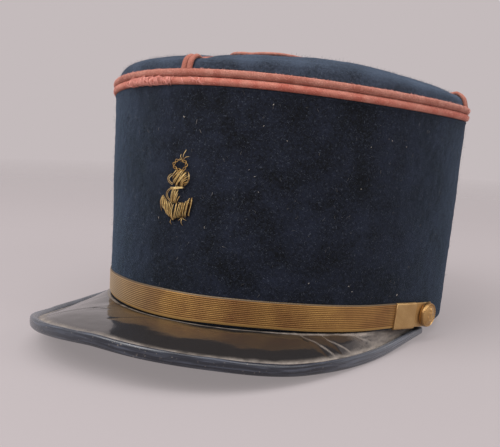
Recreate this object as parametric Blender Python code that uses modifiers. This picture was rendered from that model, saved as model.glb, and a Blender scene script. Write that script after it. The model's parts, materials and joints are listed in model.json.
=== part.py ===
"""A stiff felt kepi with red cords, a gold lace strap, a gold anchor and a patent leather visor.

Metres, +Z up. The cap's front faces -Y and the wearer's left is +X. Every piece is shaped in the cap's own
frame, where z = 0 is the plane of the wall's lower edge. The empty "stand" then tips the cap back, so that it
rests on the two drooping sides of the visor and on the back of the wall, as it does on a table.
"""
import bmesh
import bpy
import numpy as np
from mathutils import Matrix, Vector

# Clearance between pieces that touch
GAP = 0.0003

# The felt wall: an oval tube, measured outside
WALL_LENGTH = 0.2004
WALL_WIDTH = 0.1728
WALL_HEIGHT = 0.1061  # up to the middle of the two red cords
WALL_FELT = 0.0025
SIDE_FLARE = 0.0054  # how far each side leans out by the cords
END_FLARE = -0.0015  # the same for the front and the back
FORWARD_LEAN = 0.0032  # how far the oval moves forward by the cords
DIAGONAL_TRIM = 0.008  # share of its radius that the oval loses between its ends and its sides
SEAM_TILT = 0.0030  # the seam under the cords is this much lower at the front and higher at the back
SEAM_DIP = 0.0026  # and this much lower at the sides and higher at the front and the back
WALL_COLUMNS = 64

# The two red cords that are sewn round the top seam
CORD = 0.0032
CORD_PITCH = CORD + GAP
CORD_SINK = 0.0008  # how deep the cords' centres lie behind the wall's face

# The domed top: it puffs up between the four arms of its cord and is drawn down under them
TOP_FELT = 0.0020
TOP_INSET = 0.0015
TOP_RISE = 0.0138
TOP_PUFF = 0.0010
TOP_COLUMNS = 48
TOP_PROFILE = (
    # share of the radius, share of the rise, share of the puff
    (1.000, 0.000, 0.00),
    (0.985, 0.333, 0.35),
    (0.965, 0.399, 0.65),
    (0.930, 0.486, 0.95),
    (0.880, 0.616, 1.00),
    (0.800, 0.739, 1.00),
    (0.700, 0.812, 0.85),
    (0.500, 0.920, 0.45),
    (0.250, 0.986, 0.10),
    (0.000, 1.000, 0.00),
)

# The doubled cord on the top: four loops, and an arm down to the seam at the front, the back and both sides
TOP_CORD = 0.0028
TOP_CORD_HEIGHT = 0.0018  # sewn down, the cords are flatter than they are wide
KNOT_REACH = 0.0440
KNOT_INNER_SHARE = 0.35  # share of the reach that turns slowly; the rest turns three times as fast
KNOT_LIFT = 0.0007  # how far one strand rises where it passes over another
KNOT_STATIONS = 80
ARM_ANGLES = (0.0, 97.5, 180.0, -97.5)  # degrees round from the front

# The gold anchor, by its height above the wall's lower edge
ANCHOR_FOOT = 0.0426
ANCHOR_HEIGHT = 0.0285
ANCHOR_WIDTH = 0.0160
ANCHOR_RELIEF = 0.0018
ANCHOR_THREAD = 0.0008  # the ring's own radius
ANCHOR_RING_LOW = 0.76  # shares of the anchor's height
ANCHOR_RING_HIGH = 1.00
ANCHOR_RING_WIDTH = 0.58  # share of the anchor's width
ANCHOR_PADS = (
    # name, half width, relief, foot, head: shares of the anchor's half width, relief and height
    ("shank", 0.24, 0.9, 0.20, 0.62),
    ("tie", 0.46, 0.7, 0.50, 0.58),
    ("stock", 0.70, 1.0, 0.55, 0.82),
)
ANCHOR_FLUKE = (
    # distance from the middle, lower edge, upper edge, relief: shares of the same sizes
    (0.0, 0.000, 0.280, 1.00),
    (0.2, 0.006, 0.285, 0.91),
    (0.4, 0.035, 0.301, 0.82),
    (0.6, 0.101, 0.327, 0.73),
    (0.8, 0.213, 0.363, 0.64),
    (1.0, 0.380, 0.410, 0.55),
)

# The gold lace strap, its keepers and its buttons, by angle from the front
STRAP_LIFT = 0.0010
STRAP_HEIGHT = 0.0119
STRAP_THICK = 0.0010
STRAP_END = np.radians(88.0)
STRAP_COLUMNS = 44
SLIDE_ANGLE = np.radians(72.5)
SLIDE_LENGTH = 0.0150
SLIDE_THICK = 0.0006
BUTTON_ANGLE = np.radians(83.0)
BUTTON_HEIGHT = 0.0064
BUTTON_RADIUS = 0.0060
BUTTON_DEPTH = 0.0036
BUTTON_TURN = np.radians(12.0)  # the buttons hang a little towards the front
SHANK_RADIUS = 0.0012
SHANK_CLEARANCE = 0.0003
SHANK_BEYOND = 0.0010  # how far the shank stands inside the wall

# The patent leather visor and its rolled binding
VISOR_REACH = 0.0528  # how far the outer edge stands ahead of the wall
VISOR_SET_IN = 0.00015  # how far the outline's sides lie inside the wall's sides
VISOR_BACK = 0.0282  # the outer edge's outline starts this far behind the middle
VISOR_SQUARENESS = 2.63  # 2 is an ellipse, and more is squarer
VISOR_DROOP = 0.0111  # the lowest point of the binding under the wall's edge
VISOR_THICK = 0.0022
VISOR_MARGIN = 0.0075  # the sewn margin under the wall
VISOR_ARCH = 0.0015
VISOR_STATIONS = 41
VISOR_EDGE = (
    # degrees round the outline, share of the droop
    (0.0, 0.34),
    (25.0, 0.59),
    (50.0, 1.00),
    (70.0, 0.92),
    (80.0, 0.59),
    (90.0, 0.38),
)
VISOR_END = 83.0  # degrees round the outline
RIM_HEIGHT = 0.0056
RIM_END_HEIGHT = 0.0040
RIM_TAPER = 66.0  # the binding grows lower from here to its end, in degrees round the outline
RIM_DEPTH = 0.0040
RIM_WALL = 0.0014  # leather outside the visor's edge

# Worked out from the sizes above
VISOR_WIDTH = WALL_WIDTH - 2 * VISOR_SET_IN
VISOR_FRONT = WALL_LENGTH / 2 + VISOR_REACH
SHOULDER = WALL_HEIGHT - CORD_PITCH / 2 - CORD / 2 - GAP
NECK_TOP = WALL_HEIGHT + CORD_PITCH / 2 + CORD / 2
NECK_INSET = CORD_SINK + CORD / 2 + GAP
TOP_BASE = NECK_TOP + GAP
SLIDE_OUTSET = GAP + STRAP_THICK + GAP
BUTTON_OUTSET = SLIDE_OUTSET + BUTTON_RADIUS * np.sin(BUTTON_TURN)


def smooth_table(table, values):
    """A smooth curve through a table's rows: cubic pieces whose slopes are those between each row's neighbours."""
    rows = np.array(table)
    known, heights = rows[:, 0], rows[:, 1]
    slopes = np.gradient(heights, known)
    left = np.clip(np.searchsorted(known, values) - 1, 0, len(known) - 2)
    span = known[left + 1] - known[left]
    s = (values - known[left]) / span
    return (
        heights[left] * (2 * s**3 - 3 * s**2 + 1)
        + heights[left + 1] * (3 * s**2 - 2 * s**3)
        + slopes[left] * span * (s**3 - 2 * s**2 + s)
        + slopes[left + 1] * span * (s**3 - s**2)
    )


def spread_evenly(points, count):
    """The same path with count points at even steps along its length."""
    steps = np.linalg.norm(np.diff(points, axis=0), axis=1)
    length = np.concatenate([[0.0], np.cumsum(steps)])
    marks = np.linspace(0.0, length[-1], count)
    return np.stack([np.interp(marks, length, column) for column in points.T], axis=-1)


def wall_point(angle, height, outset=0.0):
    """The wall's outer face: an oval that widens and moves forward in step with its height.

    angle is 0 at the front and a quarter turn at the wearer's left. outset moves the point straight out.
    """
    share = height / WALL_HEIGHT
    trim = 1.0 + DIAGONAL_TRIM * np.cos(4 * angle)
    across = (WALL_WIDTH / 2 + SIDE_FLARE * share + outset) * trim * np.sin(angle)
    along = -(WALL_LENGTH / 2 + END_FLARE * share + outset) * trim * np.cos(angle) - FORWARD_LEAN * share
    wave = SEAM_DIP * np.cos(2 * angle) - SEAM_TILT * np.cos(angle)
    up = height + np.minimum(share, 1.0) * wave
    return np.stack(np.broadcast_arrays(across, along, up), axis=-1)


def wall_frame(angle, height, outset):
    """A matrix at a point of the wall, with its X axis round the wall, Y up it and Z out of it."""
    step = 1e-4
    place = Vector(wall_point(angle, height, outset))
    around = (Vector(wall_point(angle + step, height, outset)) - place).normalized()
    upward = (Vector(wall_point(angle, height + step, outset)) - place).normalized()
    outward = around.cross(upward).normalized()
    upward = outward.cross(around)
    frame = Matrix((around, upward, outward)).transposed().to_4x4()
    frame.translation = place
    return frame


def top_point(angle, radius, rise, inset=0.0):
    """The top: the wall's oval at the seam, shrunk to radius times its size and raised by rise."""
    trim = 1.0 + DIAGONAL_TRIM * np.cos(4 * angle)
    across = (WALL_WIDTH / 2 + SIDE_FLARE - TOP_INSET - inset) * radius * trim * np.sin(angle)
    along = -(WALL_LENGTH / 2 + END_FLARE - TOP_INSET - inset) * radius * trim * np.cos(angle) - FORWARD_LEAN
    wave = SEAM_DIP * np.cos(2 * angle) * radius**2 - SEAM_TILT * np.cos(angle) * radius
    return np.stack(np.broadcast_arrays(across, along, TOP_BASE + rise + wave), axis=-1)


def top_rise(angle, radius):
    """The top's rise: its profile, less under the four arms and more between them."""
    radii, rises, puffs = np.array(TOP_PROFILE)[::-1].T
    return TOP_RISE * np.interp(radius, radii, rises) - TOP_PUFF * np.interp(radius, radii, puffs) * np.cos(4 * angle)


def on_top(points):
    """Lay flat points (right, back, height) on the top, with their heights square to its surface."""

    def surface(x, y):
        angle = np.arctan2(x, -y)
        trim = 1.0 + DIAGONAL_TRIM * np.cos(4 * angle)
        half_width = (WALL_WIDTH / 2 + SIDE_FLARE - TOP_INSET) * trim
        half_length = (WALL_LENGTH / 2 + END_FLARE - TOP_INSET) * trim
        radius = np.hypot(x / half_width, y / half_length)
        angle = np.arctan2(x / half_width, -y / half_length)
        return top_point(angle, radius, top_rise(angle, radius))

    step = 1e-4
    x, y, height = points.T
    place = surface(x, y)
    normal = np.cross(surface(x + step, y) - place, surface(x, y + step) - place)
    normal /= np.linalg.norm(normal, axis=1, keepdims=True)
    return place + normal * height[:, None]


def finish_mesh(name, vertices, faces):
    """A mesh whose faces all point outwards."""
    mesh = bpy.data.meshes.new(name)
    mesh.from_pydata(vertices.tolist(), [], faces)
    shape = bmesh.new()
    shape.from_mesh(mesh)
    bmesh.ops.recalc_face_normals(shape, faces=shape.faces)
    shape.to_mesh(mesh)
    shape.free()
    return mesh


def loft(name, rings, joined=False, poles=()):
    """Skin a row of rings, each one closed loop of points.

    joined runs the last ring on into the first. Otherwise the two ends are fans to the two poles, or flat caps.
    """
    rings = np.asarray(rings)
    count, size = rings.shape[:2]
    vertices = rings.reshape(-1, 3)
    faces = []
    for ring in range(count if joined else count - 1):
        here = ring * size
        there = (ring + 1) % count * size
        for corner in range(size):
            following = (corner + 1) % size
            faces.append((here + corner, here + following, there + following, there + corner))
    if len(poles):
        vertices = np.vstack([vertices, poles])
        for ring, pole in ((0, count * size), (count - 1, count * size + 1)):
            for corner in range(size):
                following = (corner + 1) % size
                faces.append((ring * size + corner, ring * size + following, pole))
    elif not joined:
        faces.append(tuple(range(size)))
        faces.append(tuple(range((count - 1) * size, count * size)))
    return finish_mesh(name, vertices, faces)


def paint(name, color, roughness, metallic=0.0):
    """A plain material in the piece's own colour."""
    material = bpy.data.materials.new(name)
    material.use_nodes = True
    surface = material.node_tree.nodes["Principled BSDF"]
    surface.inputs["Base Color"].default_value = (*color, 1.0)
    surface.inputs["Roughness"].default_value = roughness
    surface.inputs["Metallic"].default_value = metallic
    return material


def add_piece(name, data, material):
    """Put a mesh or a curve in the cap's collection, on the stand."""
    piece = bpy.data.objects.new(name, data)
    data.materials.append(material)
    cap.objects.link(piece)
    piece.parent = stand
    if isinstance(data, bpy.types.Mesh):
        data.shade_smooth()
        data.set_sharp_from_angle(angle=np.radians(35.0))
    return piece


def fuse(name, meshes):
    """One mesh from meshes that overlap one another."""
    pieces = [bpy.data.objects.new(name, mesh) for mesh in meshes]
    for piece in pieces:
        bpy.context.scene.collection.objects.link(piece)
    for other in pieces[1:]:
        join = pieces[0].modifiers.new("join", "BOOLEAN")
        join.operation = "UNION"
        join.object = other
        join.use_self = True
    bpy.context.view_layer.update()
    whole = bpy.data.meshes.new_from_object(pieces[0].evaluated_get(bpy.context.evaluated_depsgraph_get()))
    for piece in pieces:
        bpy.data.objects.remove(piece)
    shape = bmesh.new()
    shape.from_mesh(whole)
    bmesh.ops.triangulate(shape, faces=shape.faces)
    bmesh.ops.remove_doubles(shape, verts=shape.verts, dist=1e-6)
    shape.to_mesh(whole)
    shape.free()
    whole.materials.clear()
    return whole


def bend(mesh, place):
    """Move a mesh's points, all at once, by a function of their positions."""
    points = np.empty(len(mesh.vertices) * 3, dtype=np.float32)
    mesh.vertices.foreach_get("co", points)
    mesh.vertices.foreach_set("co", place(points.reshape(-1, 3).astype(float)).ravel())
    mesh.update()
    return mesh


def crown_wall():
    """The wall, with a neck behind the cords that carries the top, and a hole for each button's shank."""
    angle = np.linspace(0.0, 2 * np.pi, WALL_COLUMNS, endpoint=False)
    profile = (
        (0.0, 0.0),
        (SHOULDER / 3, 0.0),
        (SHOULDER * 2 / 3, 0.0),
        (SHOULDER, 0.0),
        (SHOULDER, -NECK_INSET),
        (NECK_TOP, -NECK_INSET),
        (NECK_TOP, -NECK_INSET - WALL_FELT),
        (SHOULDER - WALL_FELT, -NECK_INSET - WALL_FELT),
        (SHOULDER - WALL_FELT, -WALL_FELT),
        (0.0, -WALL_FELT),
    )
    rings = [wall_point(angle, height, outset) for height, outset in profile]
    wall = add_piece("crown_wall", loft("crown_wall", rings, joined=True), felt)
    cut_shank_holes(wall)


def crown_top():
    """The domed felt top: its outer face from the table, and the same face again, lowered by the felt."""
    angle = np.linspace(0.0, 2 * np.pi, TOP_COLUMNS, endpoint=False)
    radii = [row[0] for row in TOP_PROFILE[:-1]]
    outer = [top_point(angle, radius, top_rise(angle, radius)) for radius in radii]
    inner = [top_point(angle, 1.0, 0.0, TOP_FELT)]
    for radius in radii[2::2]:
        inner.append(top_point(angle, radius, top_rise(angle, radius) - TOP_FELT, TOP_FELT))
    poles = [top_point(0.0, 0.0, TOP_RISE - TOP_FELT), top_point(0.0, 0.0, TOP_RISE)]
    add_piece("crown_top", loft("crown_top", inner[::-1] + outer, poles=poles), felt)


def piping(name, height):
    """One red cord round the seam."""
    line = bpy.data.curves.new(name, "CURVE")
    line.dimensions = "3D"
    line.bevel_depth = CORD / 2
    line.bevel_resolution = 2
    angle = np.linspace(0.0, 2 * np.pi, WALL_COLUMNS, endpoint=False)
    points = wall_point(angle, height, -CORD_SINK)
    spline = line.splines.new("POLY")
    spline.points.add(len(points) - 1)
    spline.points.foreach_set("co", np.column_stack([points, np.ones(len(points))]).ravel())
    spline.use_cyclic_u = True
    add_piece(name, line, red_cord)


def doubled_cord(path, joined):
    """Rings of the section of two cords side by side, carried along a flat path of (right, back, height)."""
    section = np.array(
        (
            # across, up: shares of a cord's width and height
            (-0.80, 0.00),
            (-1.00, 0.50),
            (-0.75, 1.00),
            (-0.30, 1.00),
            (0.00, 0.65),
            (0.30, 1.00),
            (0.75, 1.00),
            (1.00, 0.50),
            (0.80, 0.00),
        )
    )
    if joined:
        forward = np.roll(path, -1, axis=0) - np.roll(path, 1, axis=0)
    else:
        forward = np.gradient(path, axis=0)
    forward /= np.linalg.norm(forward[:, :2], axis=1, keepdims=True)
    sideways = np.stack([forward[:, 1], -forward[:, 0], np.zeros(len(path))], axis=-1)
    rings = path[:, None, :] + sideways[:, None, :] * section[None, :, :1] * TOP_CORD
    rings[:, :, 2] += section[None, :, 1] * TOP_CORD_HEIGHT
    return rings


def top_knot_cord():
    """Four loops of doubled cord and four arms, fused flat and then laid on the top.

    The loops are the path of a point on a small wheel that rolls inside a ring four times its size.
    """
    slow = KNOT_REACH * KNOT_INNER_SHARE
    fast = KNOT_REACH - slow
    turn = np.linspace(0.0, 2 * np.pi, KNOT_STATIONS, endpoint=False)
    right = slow * np.sin(turn) - fast * np.sin(3 * turn)
    back = -slow * np.cos(turn) - fast * np.cos(3 * turn)
    height = GAP + KNOT_LIFT * (1 + np.sin(4 * turn)) / 2
    meshes = [loft("loops", doubled_cord(np.stack([right, back, height], axis=-1), True), joined=True)]
    for angle in np.radians(ARM_ANGLES):
        edge = top_point(angle, 1.0, 0.0) - top_point(angle, 0.0, 0.0)
        inner_end = (KNOT_REACH - TOP_CORD) / np.hypot(edge[0], edge[1])
        radii = np.array([row[0] for row in TOP_PROFILE if row[0] > inner_end] + [inner_end])[:, None]
        path = np.hstack([radii * edge[:2], np.full(radii.shape, GAP + KNOT_LIFT / 3)])
        meshes.append(loft("arm", doubled_cord(path, False)))
    knot = bend(fuse("top_knot_cord", meshes), on_top)
    add_piece("top_knot_cord", knot, red_cord)


def anchor_badge():
    """A gold anchor in padded stitches: ring, round stock, tie, shank and flukes, fused flat and laid on the wall.

    Flat points are (across, -relief, up), in metres from the middle of the anchor's foot.
    """
    half = ANCHOR_WIDTH / 2

    def pad(name, across, relief, low, high):
        shape = bmesh.new()
        size = Matrix.Diagonal((across * half, relief * ANCHOR_RELIEF / 2, (high - low) * ANCHOR_HEIGHT / 2, 1.0))
        place = Matrix.Translation((0.0, -relief * ANCHOR_RELIEF / 2, (low + high) * ANCHOR_HEIGHT / 2))
        bmesh.ops.create_uvsphere(shape, u_segments=10, v_segments=8, radius=1.0, matrix=place @ size)
        mesh = bpy.data.meshes.new(name)
        shape.to_mesh(mesh)
        shape.free()
        return mesh

    around = np.linspace(0.0, 2 * np.pi, 14, endpoint=False)
    tube = np.linspace(0.0, 2 * np.pi, 6, endpoint=False)
    reach = (ANCHOR_RING_HIGH - ANCHOR_RING_LOW) * ANCHOR_HEIGHT / 2 - ANCHOR_THREAD
    middle = (ANCHOR_RING_HIGH + ANCHOR_RING_LOW) * ANCHOR_HEIGHT / 2
    ring = np.stack(
        np.broadcast_arrays(
            (ANCHOR_RING_WIDTH * half - ANCHOR_THREAD + ANCHOR_THREAD * np.cos(tube)) * np.sin(around[:, None]),
            -ANCHOR_THREAD * (1 + np.sin(tube)),
            middle + (reach + ANCHOR_THREAD * np.cos(tube)) * np.cos(around[:, None]),
        ),
        axis=-1,
    )
    station = np.linspace(-1.0, 1.0, 2 * len(ANCHOR_FLUKE) - 1)
    low, high, relief = (np.interp(np.abs(station), *np.array(ANCHOR_FLUKE)[:, [0, row]].T) for row in (1, 2, 3))
    arc = np.linspace(0.0, 2 * np.pi, 8, endpoint=False)
    flukes = np.stack(
        np.broadcast_arrays(
            half * station[:, None],
            -relief[:, None] * ANCHOR_RELIEF * (1 + np.sin(arc)) / 2,
            ANCHOR_HEIGHT * ((high + low)[:, None] + (high - low)[:, None] * np.cos(arc)) / 2,
        ),
        axis=-1,
    )
    meshes = [loft("flukes", flukes)]
    meshes += [pad(*row) for row in ANCHOR_PADS]
    meshes.append(loft("ring", ring, joined=True))

    def on_wall(points):
        across, sunk, up = points.T
        height = ANCHOR_FOOT + up
        half_width = WALL_WIDTH / 2 + SIDE_FLARE * height / WALL_HEIGHT
        return wall_point(np.arcsin(across / half_width), height, GAP - sunk)

    add_piece("anchor_badge", bend(fuse("anchor_badge", meshes), on_wall), gold_thread)


def chin_strap():
    """The lace strap round the front of the wall, with cut corners at its two ends."""
    angle = np.linspace(-STRAP_END, STRAP_END, STRAP_COLUMNS)
    nip = np.zeros(STRAP_COLUMNS)
    nip[[0, -1]] = STRAP_HEIGHT / 5
    low = STRAP_LIFT + nip
    high = STRAP_LIFT + STRAP_HEIGHT - nip
    corners = ((low, GAP), (low, GAP + STRAP_THICK), (high, GAP + STRAP_THICK), (high, GAP))
    rings = np.stack([wall_point(angle, height, outset) for height, outset in corners], axis=1)
    strap = add_piece("chin_strap", loft("chin_strap", rings), gold_lace)
    cut_shank_holes(strap)


def strap_slide(name, side):
    """A keeper round the strap: a plate over it, with a lip over each edge."""
    reach = SLIDE_LENGTH / WALL_WIDTH
    angle = side * np.linspace(SLIDE_ANGLE - reach, SLIDE_ANGLE + reach, 5)
    low = STRAP_LIFT - GAP
    high = STRAP_LIFT + STRAP_HEIGHT + GAP
    section = (
        (low - SLIDE_THICK, GAP),
        (low - SLIDE_THICK, SLIDE_OUTSET + SLIDE_THICK),
        (high + SLIDE_THICK, SLIDE_OUTSET + SLIDE_THICK),
        (high + SLIDE_THICK, GAP),
        (high, GAP),
        (high, SLIDE_OUTSET),
        (low, SLIDE_OUTSET),
        (low, GAP),
    )
    rings = np.stack([wall_point(angle, height, outset) for height, outset in section], axis=1)
    add_piece(name, loft(name, rings), gold_lace)


def button_seat(side):
    """The middle of a button's back, with its Z axis along the shank."""
    return wall_frame(side * BUTTON_ANGLE, BUTTON_HEIGHT, BUTTON_OUTSET) @ Matrix.Rotation(-side * BUTTON_TURN, 4, "Y")


def button(name, side):
    """A turned brass button: a domed face with a raised rim, and a shank through the strap and the wall."""
    shank = (BUTTON_OUTSET + WALL_FELT) / np.cos(BUTTON_TURN) + SHANK_BEYOND
    profile = (
        # radius, height above the button's back
        (0.0, BUTTON_DEPTH),
        (BUTTON_RADIUS * 0.35, BUTTON_DEPTH * 0.96),
        (BUTTON_RADIUS * 0.65, BUTTON_DEPTH * 0.80),
        (BUTTON_RADIUS * 0.84, BUTTON_DEPTH * 0.58),
        (BUTTON_RADIUS * 0.89, BUTTON_DEPTH * 0.60),
        (BUTTON_RADIUS * 0.97, BUTTON_DEPTH * 0.48),
        (BUTTON_RADIUS, BUTTON_DEPTH * 0.25),
        (BUTTON_RADIUS * 0.93, 0.0),
        (SHANK_RADIUS, 0.0),
        (SHANK_RADIUS, -shank),
        (0.0, -shank),
    )
    mesh = bpy.data.meshes.new(name)
    edges = [(row, row + 1) for row in range(len(profile) - 1)]
    mesh.from_pydata([(radius, 0.0, height) for radius, height in profile], edges, [])
    piece = add_piece(name, mesh, brass)
    piece.matrix_local = button_seat(side)
    turned = piece.modifiers.new("turned", "SCREW")
    turned.steps = 20
    turned.render_steps = 20
    turned.use_merge_vertices = True
    turned.merge_threshold = 1e-6
    turned.use_smooth_shade = True


def shank_cutter(side):
    """A hidden cylinder, wider than the shank, that makes its holes."""
    bpy.ops.mesh.primitive_cylinder_add(vertices=12, radius=SHANK_RADIUS + SHANK_CLEARANCE, depth=6 * WALL_FELT)
    cutter = bpy.context.object
    cutter.name = "shank_cutter_left" if side > 0 else "shank_cutter_right"
    cutter.parent = stand
    cutter.matrix_local = button_seat(side)
    cutter.hide_render = True
    cutter.display_type = "WIRE"
    for holder in cutter.users_collection:
        holder.objects.unlink(cutter)
    cutters.objects.link(cutter)
    return cutter


def cut_shank_holes(piece):
    """Cut a hole for each button's shank."""
    for cutter in cutters.objects:
        hole = piece.modifiers.new("shank_hole", "BOOLEAN")
        hole.operation = "DIFFERENCE"
        hole.object = cutter


def rim_path():
    """The binding's outer lower edge, from the wearer's right to the left, its height and the way out from it.

    In plan it is a squarish oval. It runs on under the wall's lower edge as far as its height has room there.
    """
    degrees = np.linspace(0.0, min(VISOR_END, 89.5), 359)
    turn = np.radians(degrees)
    share = np.cos(turn) ** (2 / VISOR_SQUARENESS)
    across = VISOR_WIDTH / 2 * np.sin(turn) ** (2 / VISOR_SQUARENESS)
    along = VISOR_BACK - (VISOR_FRONT + VISOR_BACK) * share
    up = -VISOR_DROOP * smooth_table(VISOR_EDGE, degrees)
    tall = np.interp(degrees, (RIM_TAPER, VISOR_END), (RIM_HEIGHT, RIM_END_HEIGHT))
    apart = (1.0 + DIAGONAL_TRIM) / 2
    room = RIM_DEPTH + GAP
    outside = np.hypot(across / (WALL_WIDTH * apart + room), along / (WALL_LENGTH * apart + room)) >= 1.0
    under = up + tall <= -GAP
    blocked = np.append(~(outside | under), True)
    half = np.stack([across, along, up, tall], axis=-1)[: np.argmax(blocked)]
    whole = spread_evenly(np.vstack([half[:0:-1] * (-1.0, 1.0, 1.0, 1.0), half]), VISOR_STATIONS)
    path, tall = whole[:, :3], whole[:, 3:]
    forward = np.gradient(path[:, :2], axis=0)
    forward /= np.linalg.norm(forward, axis=1, keepdims=True)
    outward = np.stack([forward[:, 1], -forward[:, 0], np.zeros(len(path))], axis=-1)
    return path, tall, outward


def visor():
    """The visor: flat under the wall, arched on its way down, and level in the binding's groove."""
    path, tall, outward = rim_path()
    upward = np.array((0.0, 0.0, 1.0))
    centre = path + upward * (tall + VISOR_THICK) / 2
    edge = centre - outward * (RIM_WALL + GAP)
    mouth = centre - outward * (RIM_DEPTH + 2 * GAP)
    angle = np.arctan2(path[:, 0] / WALL_WIDTH, -path[:, 1] / WALL_LENGTH)
    sewn = wall_point(angle, 0.0, -VISOR_MARGIN) - upward * GAP
    width = np.linalg.norm((mouth - sewn)[:, :2], axis=1)
    flat = np.minimum(0.6, (VISOR_MARGIN + GAP) / width)[:, None]
    arch = VISOR_ARCH * np.minimum(1.0, width / VISOR_REACH)[:, None]
    rows = [sewn]
    for share in (0.0, 1 / 3, 2 / 3):
        row = sewn + (mouth - sewn) * (flat + (1 - flat) * share)
        drop = (mouth - sewn)[:, 2:] * share
        row[:, 2:] = sewn[:, 2:] + drop + arch * np.sin(np.pi * share)
        rows.append(row)
    rows += [mouth, edge]
    under = [row - upward * VISOR_THICK for row in rows[::-1]]
    add_piece("visor", loft("visor", np.stack(rows + under, axis=1)), patent_leather)


def visor_rim():
    """The rolled binding: a rounded channel whose groove holds the visor's edge."""
    path, tall, outward = rim_path()
    upward = np.array((0.0, 0.0, 1.0))
    groove = (VISOR_THICK + 2 * GAP) / 2
    section = (
        # out, up as a share of the height, up by a length
        (-RIM_DEPTH, 0.0, 0.0),
        (-RIM_DEPTH * 0.30, 0.0, 0.0),
        (0.0, 0.28, 0.0),
        (0.0, 0.72, 0.0),
        (-RIM_DEPTH * 0.30, 1.0, 0.0),
        (-RIM_DEPTH, 1.0, 0.0),
        (-RIM_DEPTH, 0.5, groove),
        (-RIM_WALL, 0.5, groove),
        (-RIM_WALL, 0.5, -groove),
        (-RIM_DEPTH, 0.5, -groove),
    )
    rings = np.stack([path + outward * out + upward * (tall * share + up) for out, share, up in section], axis=1)
    add_piece("visor_rim", loft("visor_rim", rings), patent_leather)


def rest_on_table():
    """Tip the stand back so that the binding and the back of the wall touch the table, and centre the cap over it."""
    path, _, outward = rim_path()
    foot = path - outward * RIM_DEPTH * 0.30
    heel = wall_point(np.pi, 0.0)
    tilt = np.max(np.arctan2(-foot[:, 2], heel[1] - foot[:, 1]))
    stand.matrix_world = Matrix.Rotation(-tilt, 4, "X")
    bpy.context.view_layer.update()
    graph = bpy.context.evaluated_depsgraph_get()
    corners = []
    for piece in cap.objects:
        if piece.type == "EMPTY":
            continue
        shape = piece.evaluated_get(graph)
        mesh = shape.to_mesh()
        points = np.empty(len(mesh.vertices) * 3, dtype=np.float32)
        mesh.vertices.foreach_get("co", points)
        turn = np.array(shape.matrix_world)
        points = points.reshape(-1, 3) @ turn[:3, :3].T + turn[:3, 3]
        corners += [points.min(axis=0), points.max(axis=0)]
        shape.to_mesh_clear()
    low = np.min(corners, axis=0)
    high = np.max(corners, axis=0)
    stand.location = (-(low[0] + high[0]) / 2, -(low[1] + high[1]) / 2, -low[2])


for old in list(bpy.data.objects):
    bpy.data.objects.remove(old)

cap = bpy.data.collections.new("kepi_cap")
cutters = bpy.data.collections.new("cutters")
bpy.context.scene.collection.children.link(cap)
bpy.context.scene.collection.children.link(cutters)
stand = bpy.data.objects.new("stand", None)
cap.objects.link(stand)

felt = paint("navy felt", (0.018, 0.022, 0.030), 0.95)
red_cord = paint("red wool cord", (0.48, 0.14, 0.09), 0.85)
gold_thread = paint("gold thread", (0.50, 0.33, 0.12), 0.45, 0.8)
gold_lace = paint("gold lace", (0.40, 0.25, 0.09), 0.45, 0.7)
brass = paint("stamped brass", (0.62, 0.43, 0.18), 0.30, 1.0)
patent_leather = paint("patent leather", (0.012, 0.013, 0.016), 0.15)

for side in (1, -1):
    shank_cutter(side)
crown_wall()
crown_top()
piping("piping_lower", WALL_HEIGHT - CORD_PITCH / 2)
piping("piping_upper", WALL_HEIGHT + CORD_PITCH / 2)
top_knot_cord()
anchor_badge()
chin_strap()
for side, word in ((1, "left"), (-1, "right")):
    strap_slide(f"strap_slide_{word}", side)
    button(f"button_{word}", side)
visor()
visor_rim()
rest_on_table()
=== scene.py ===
import json

import bmesh
import bpy
import numpy as np
from mathutils import Matrix


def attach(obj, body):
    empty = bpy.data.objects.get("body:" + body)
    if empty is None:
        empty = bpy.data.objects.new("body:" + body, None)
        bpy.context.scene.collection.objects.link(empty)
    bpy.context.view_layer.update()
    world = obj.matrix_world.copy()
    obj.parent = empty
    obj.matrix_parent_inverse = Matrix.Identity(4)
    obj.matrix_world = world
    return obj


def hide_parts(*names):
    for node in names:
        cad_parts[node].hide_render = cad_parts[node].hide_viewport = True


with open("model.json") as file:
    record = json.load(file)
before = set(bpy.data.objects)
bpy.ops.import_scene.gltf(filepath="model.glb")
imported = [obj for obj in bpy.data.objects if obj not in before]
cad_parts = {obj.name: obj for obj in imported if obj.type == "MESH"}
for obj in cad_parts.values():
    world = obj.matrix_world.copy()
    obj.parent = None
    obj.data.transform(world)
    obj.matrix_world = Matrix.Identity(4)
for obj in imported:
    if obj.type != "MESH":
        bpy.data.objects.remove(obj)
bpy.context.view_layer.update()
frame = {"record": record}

# The camera: low, ahead of the cap and to the wearer's left, looking slightly down with a small roll.
CAMERA_AT = (0.1905, -0.3363, 0.1002)
CAMERA_ROUND = np.radians(30.30)
CAMERA_DOWN = np.radians(7.61)
CAMERA_ROLL = np.radians(2.65)
CAMERA_LENS = 53.69

camera = bpy.data.objects.new("camera", bpy.data.cameras.new("camera"))
camera.data.lens = CAMERA_LENS
camera.data.clip_start = 0.01
camera.matrix_world = (
    Matrix.Translation(CAMERA_AT)
    @ Matrix.Rotation(CAMERA_ROUND, 4, "Z")
    @ Matrix.Rotation(np.pi / 2 - CAMERA_DOWN, 4, "X")
    @ Matrix.Rotation(CAMERA_ROLL, 4, "Z")
)
bpy.context.scene.collection.objects.link(camera)
bpy.context.scene.camera = camera
bpy.context.scene.view_settings.view_transform = "Standard"


# The floor: a pale mauve-grey board that fades into a backdrop of the same colour.
def hex_color(code):
    """sRGB hex to linear: c / 12.92 up to 0.04045, and ((c + 0.055) / 1.055) to the power 2.4 above it."""
    value = np.array([int(code[start : start + 2], 16) for start in (0, 2, 4)]) / 255
    linear = np.where(value <= 0.04045, value / 12.92, ((value + 0.055) / 1.055) ** 2.4)
    return (*linear.tolist(), 1.0)


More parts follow.
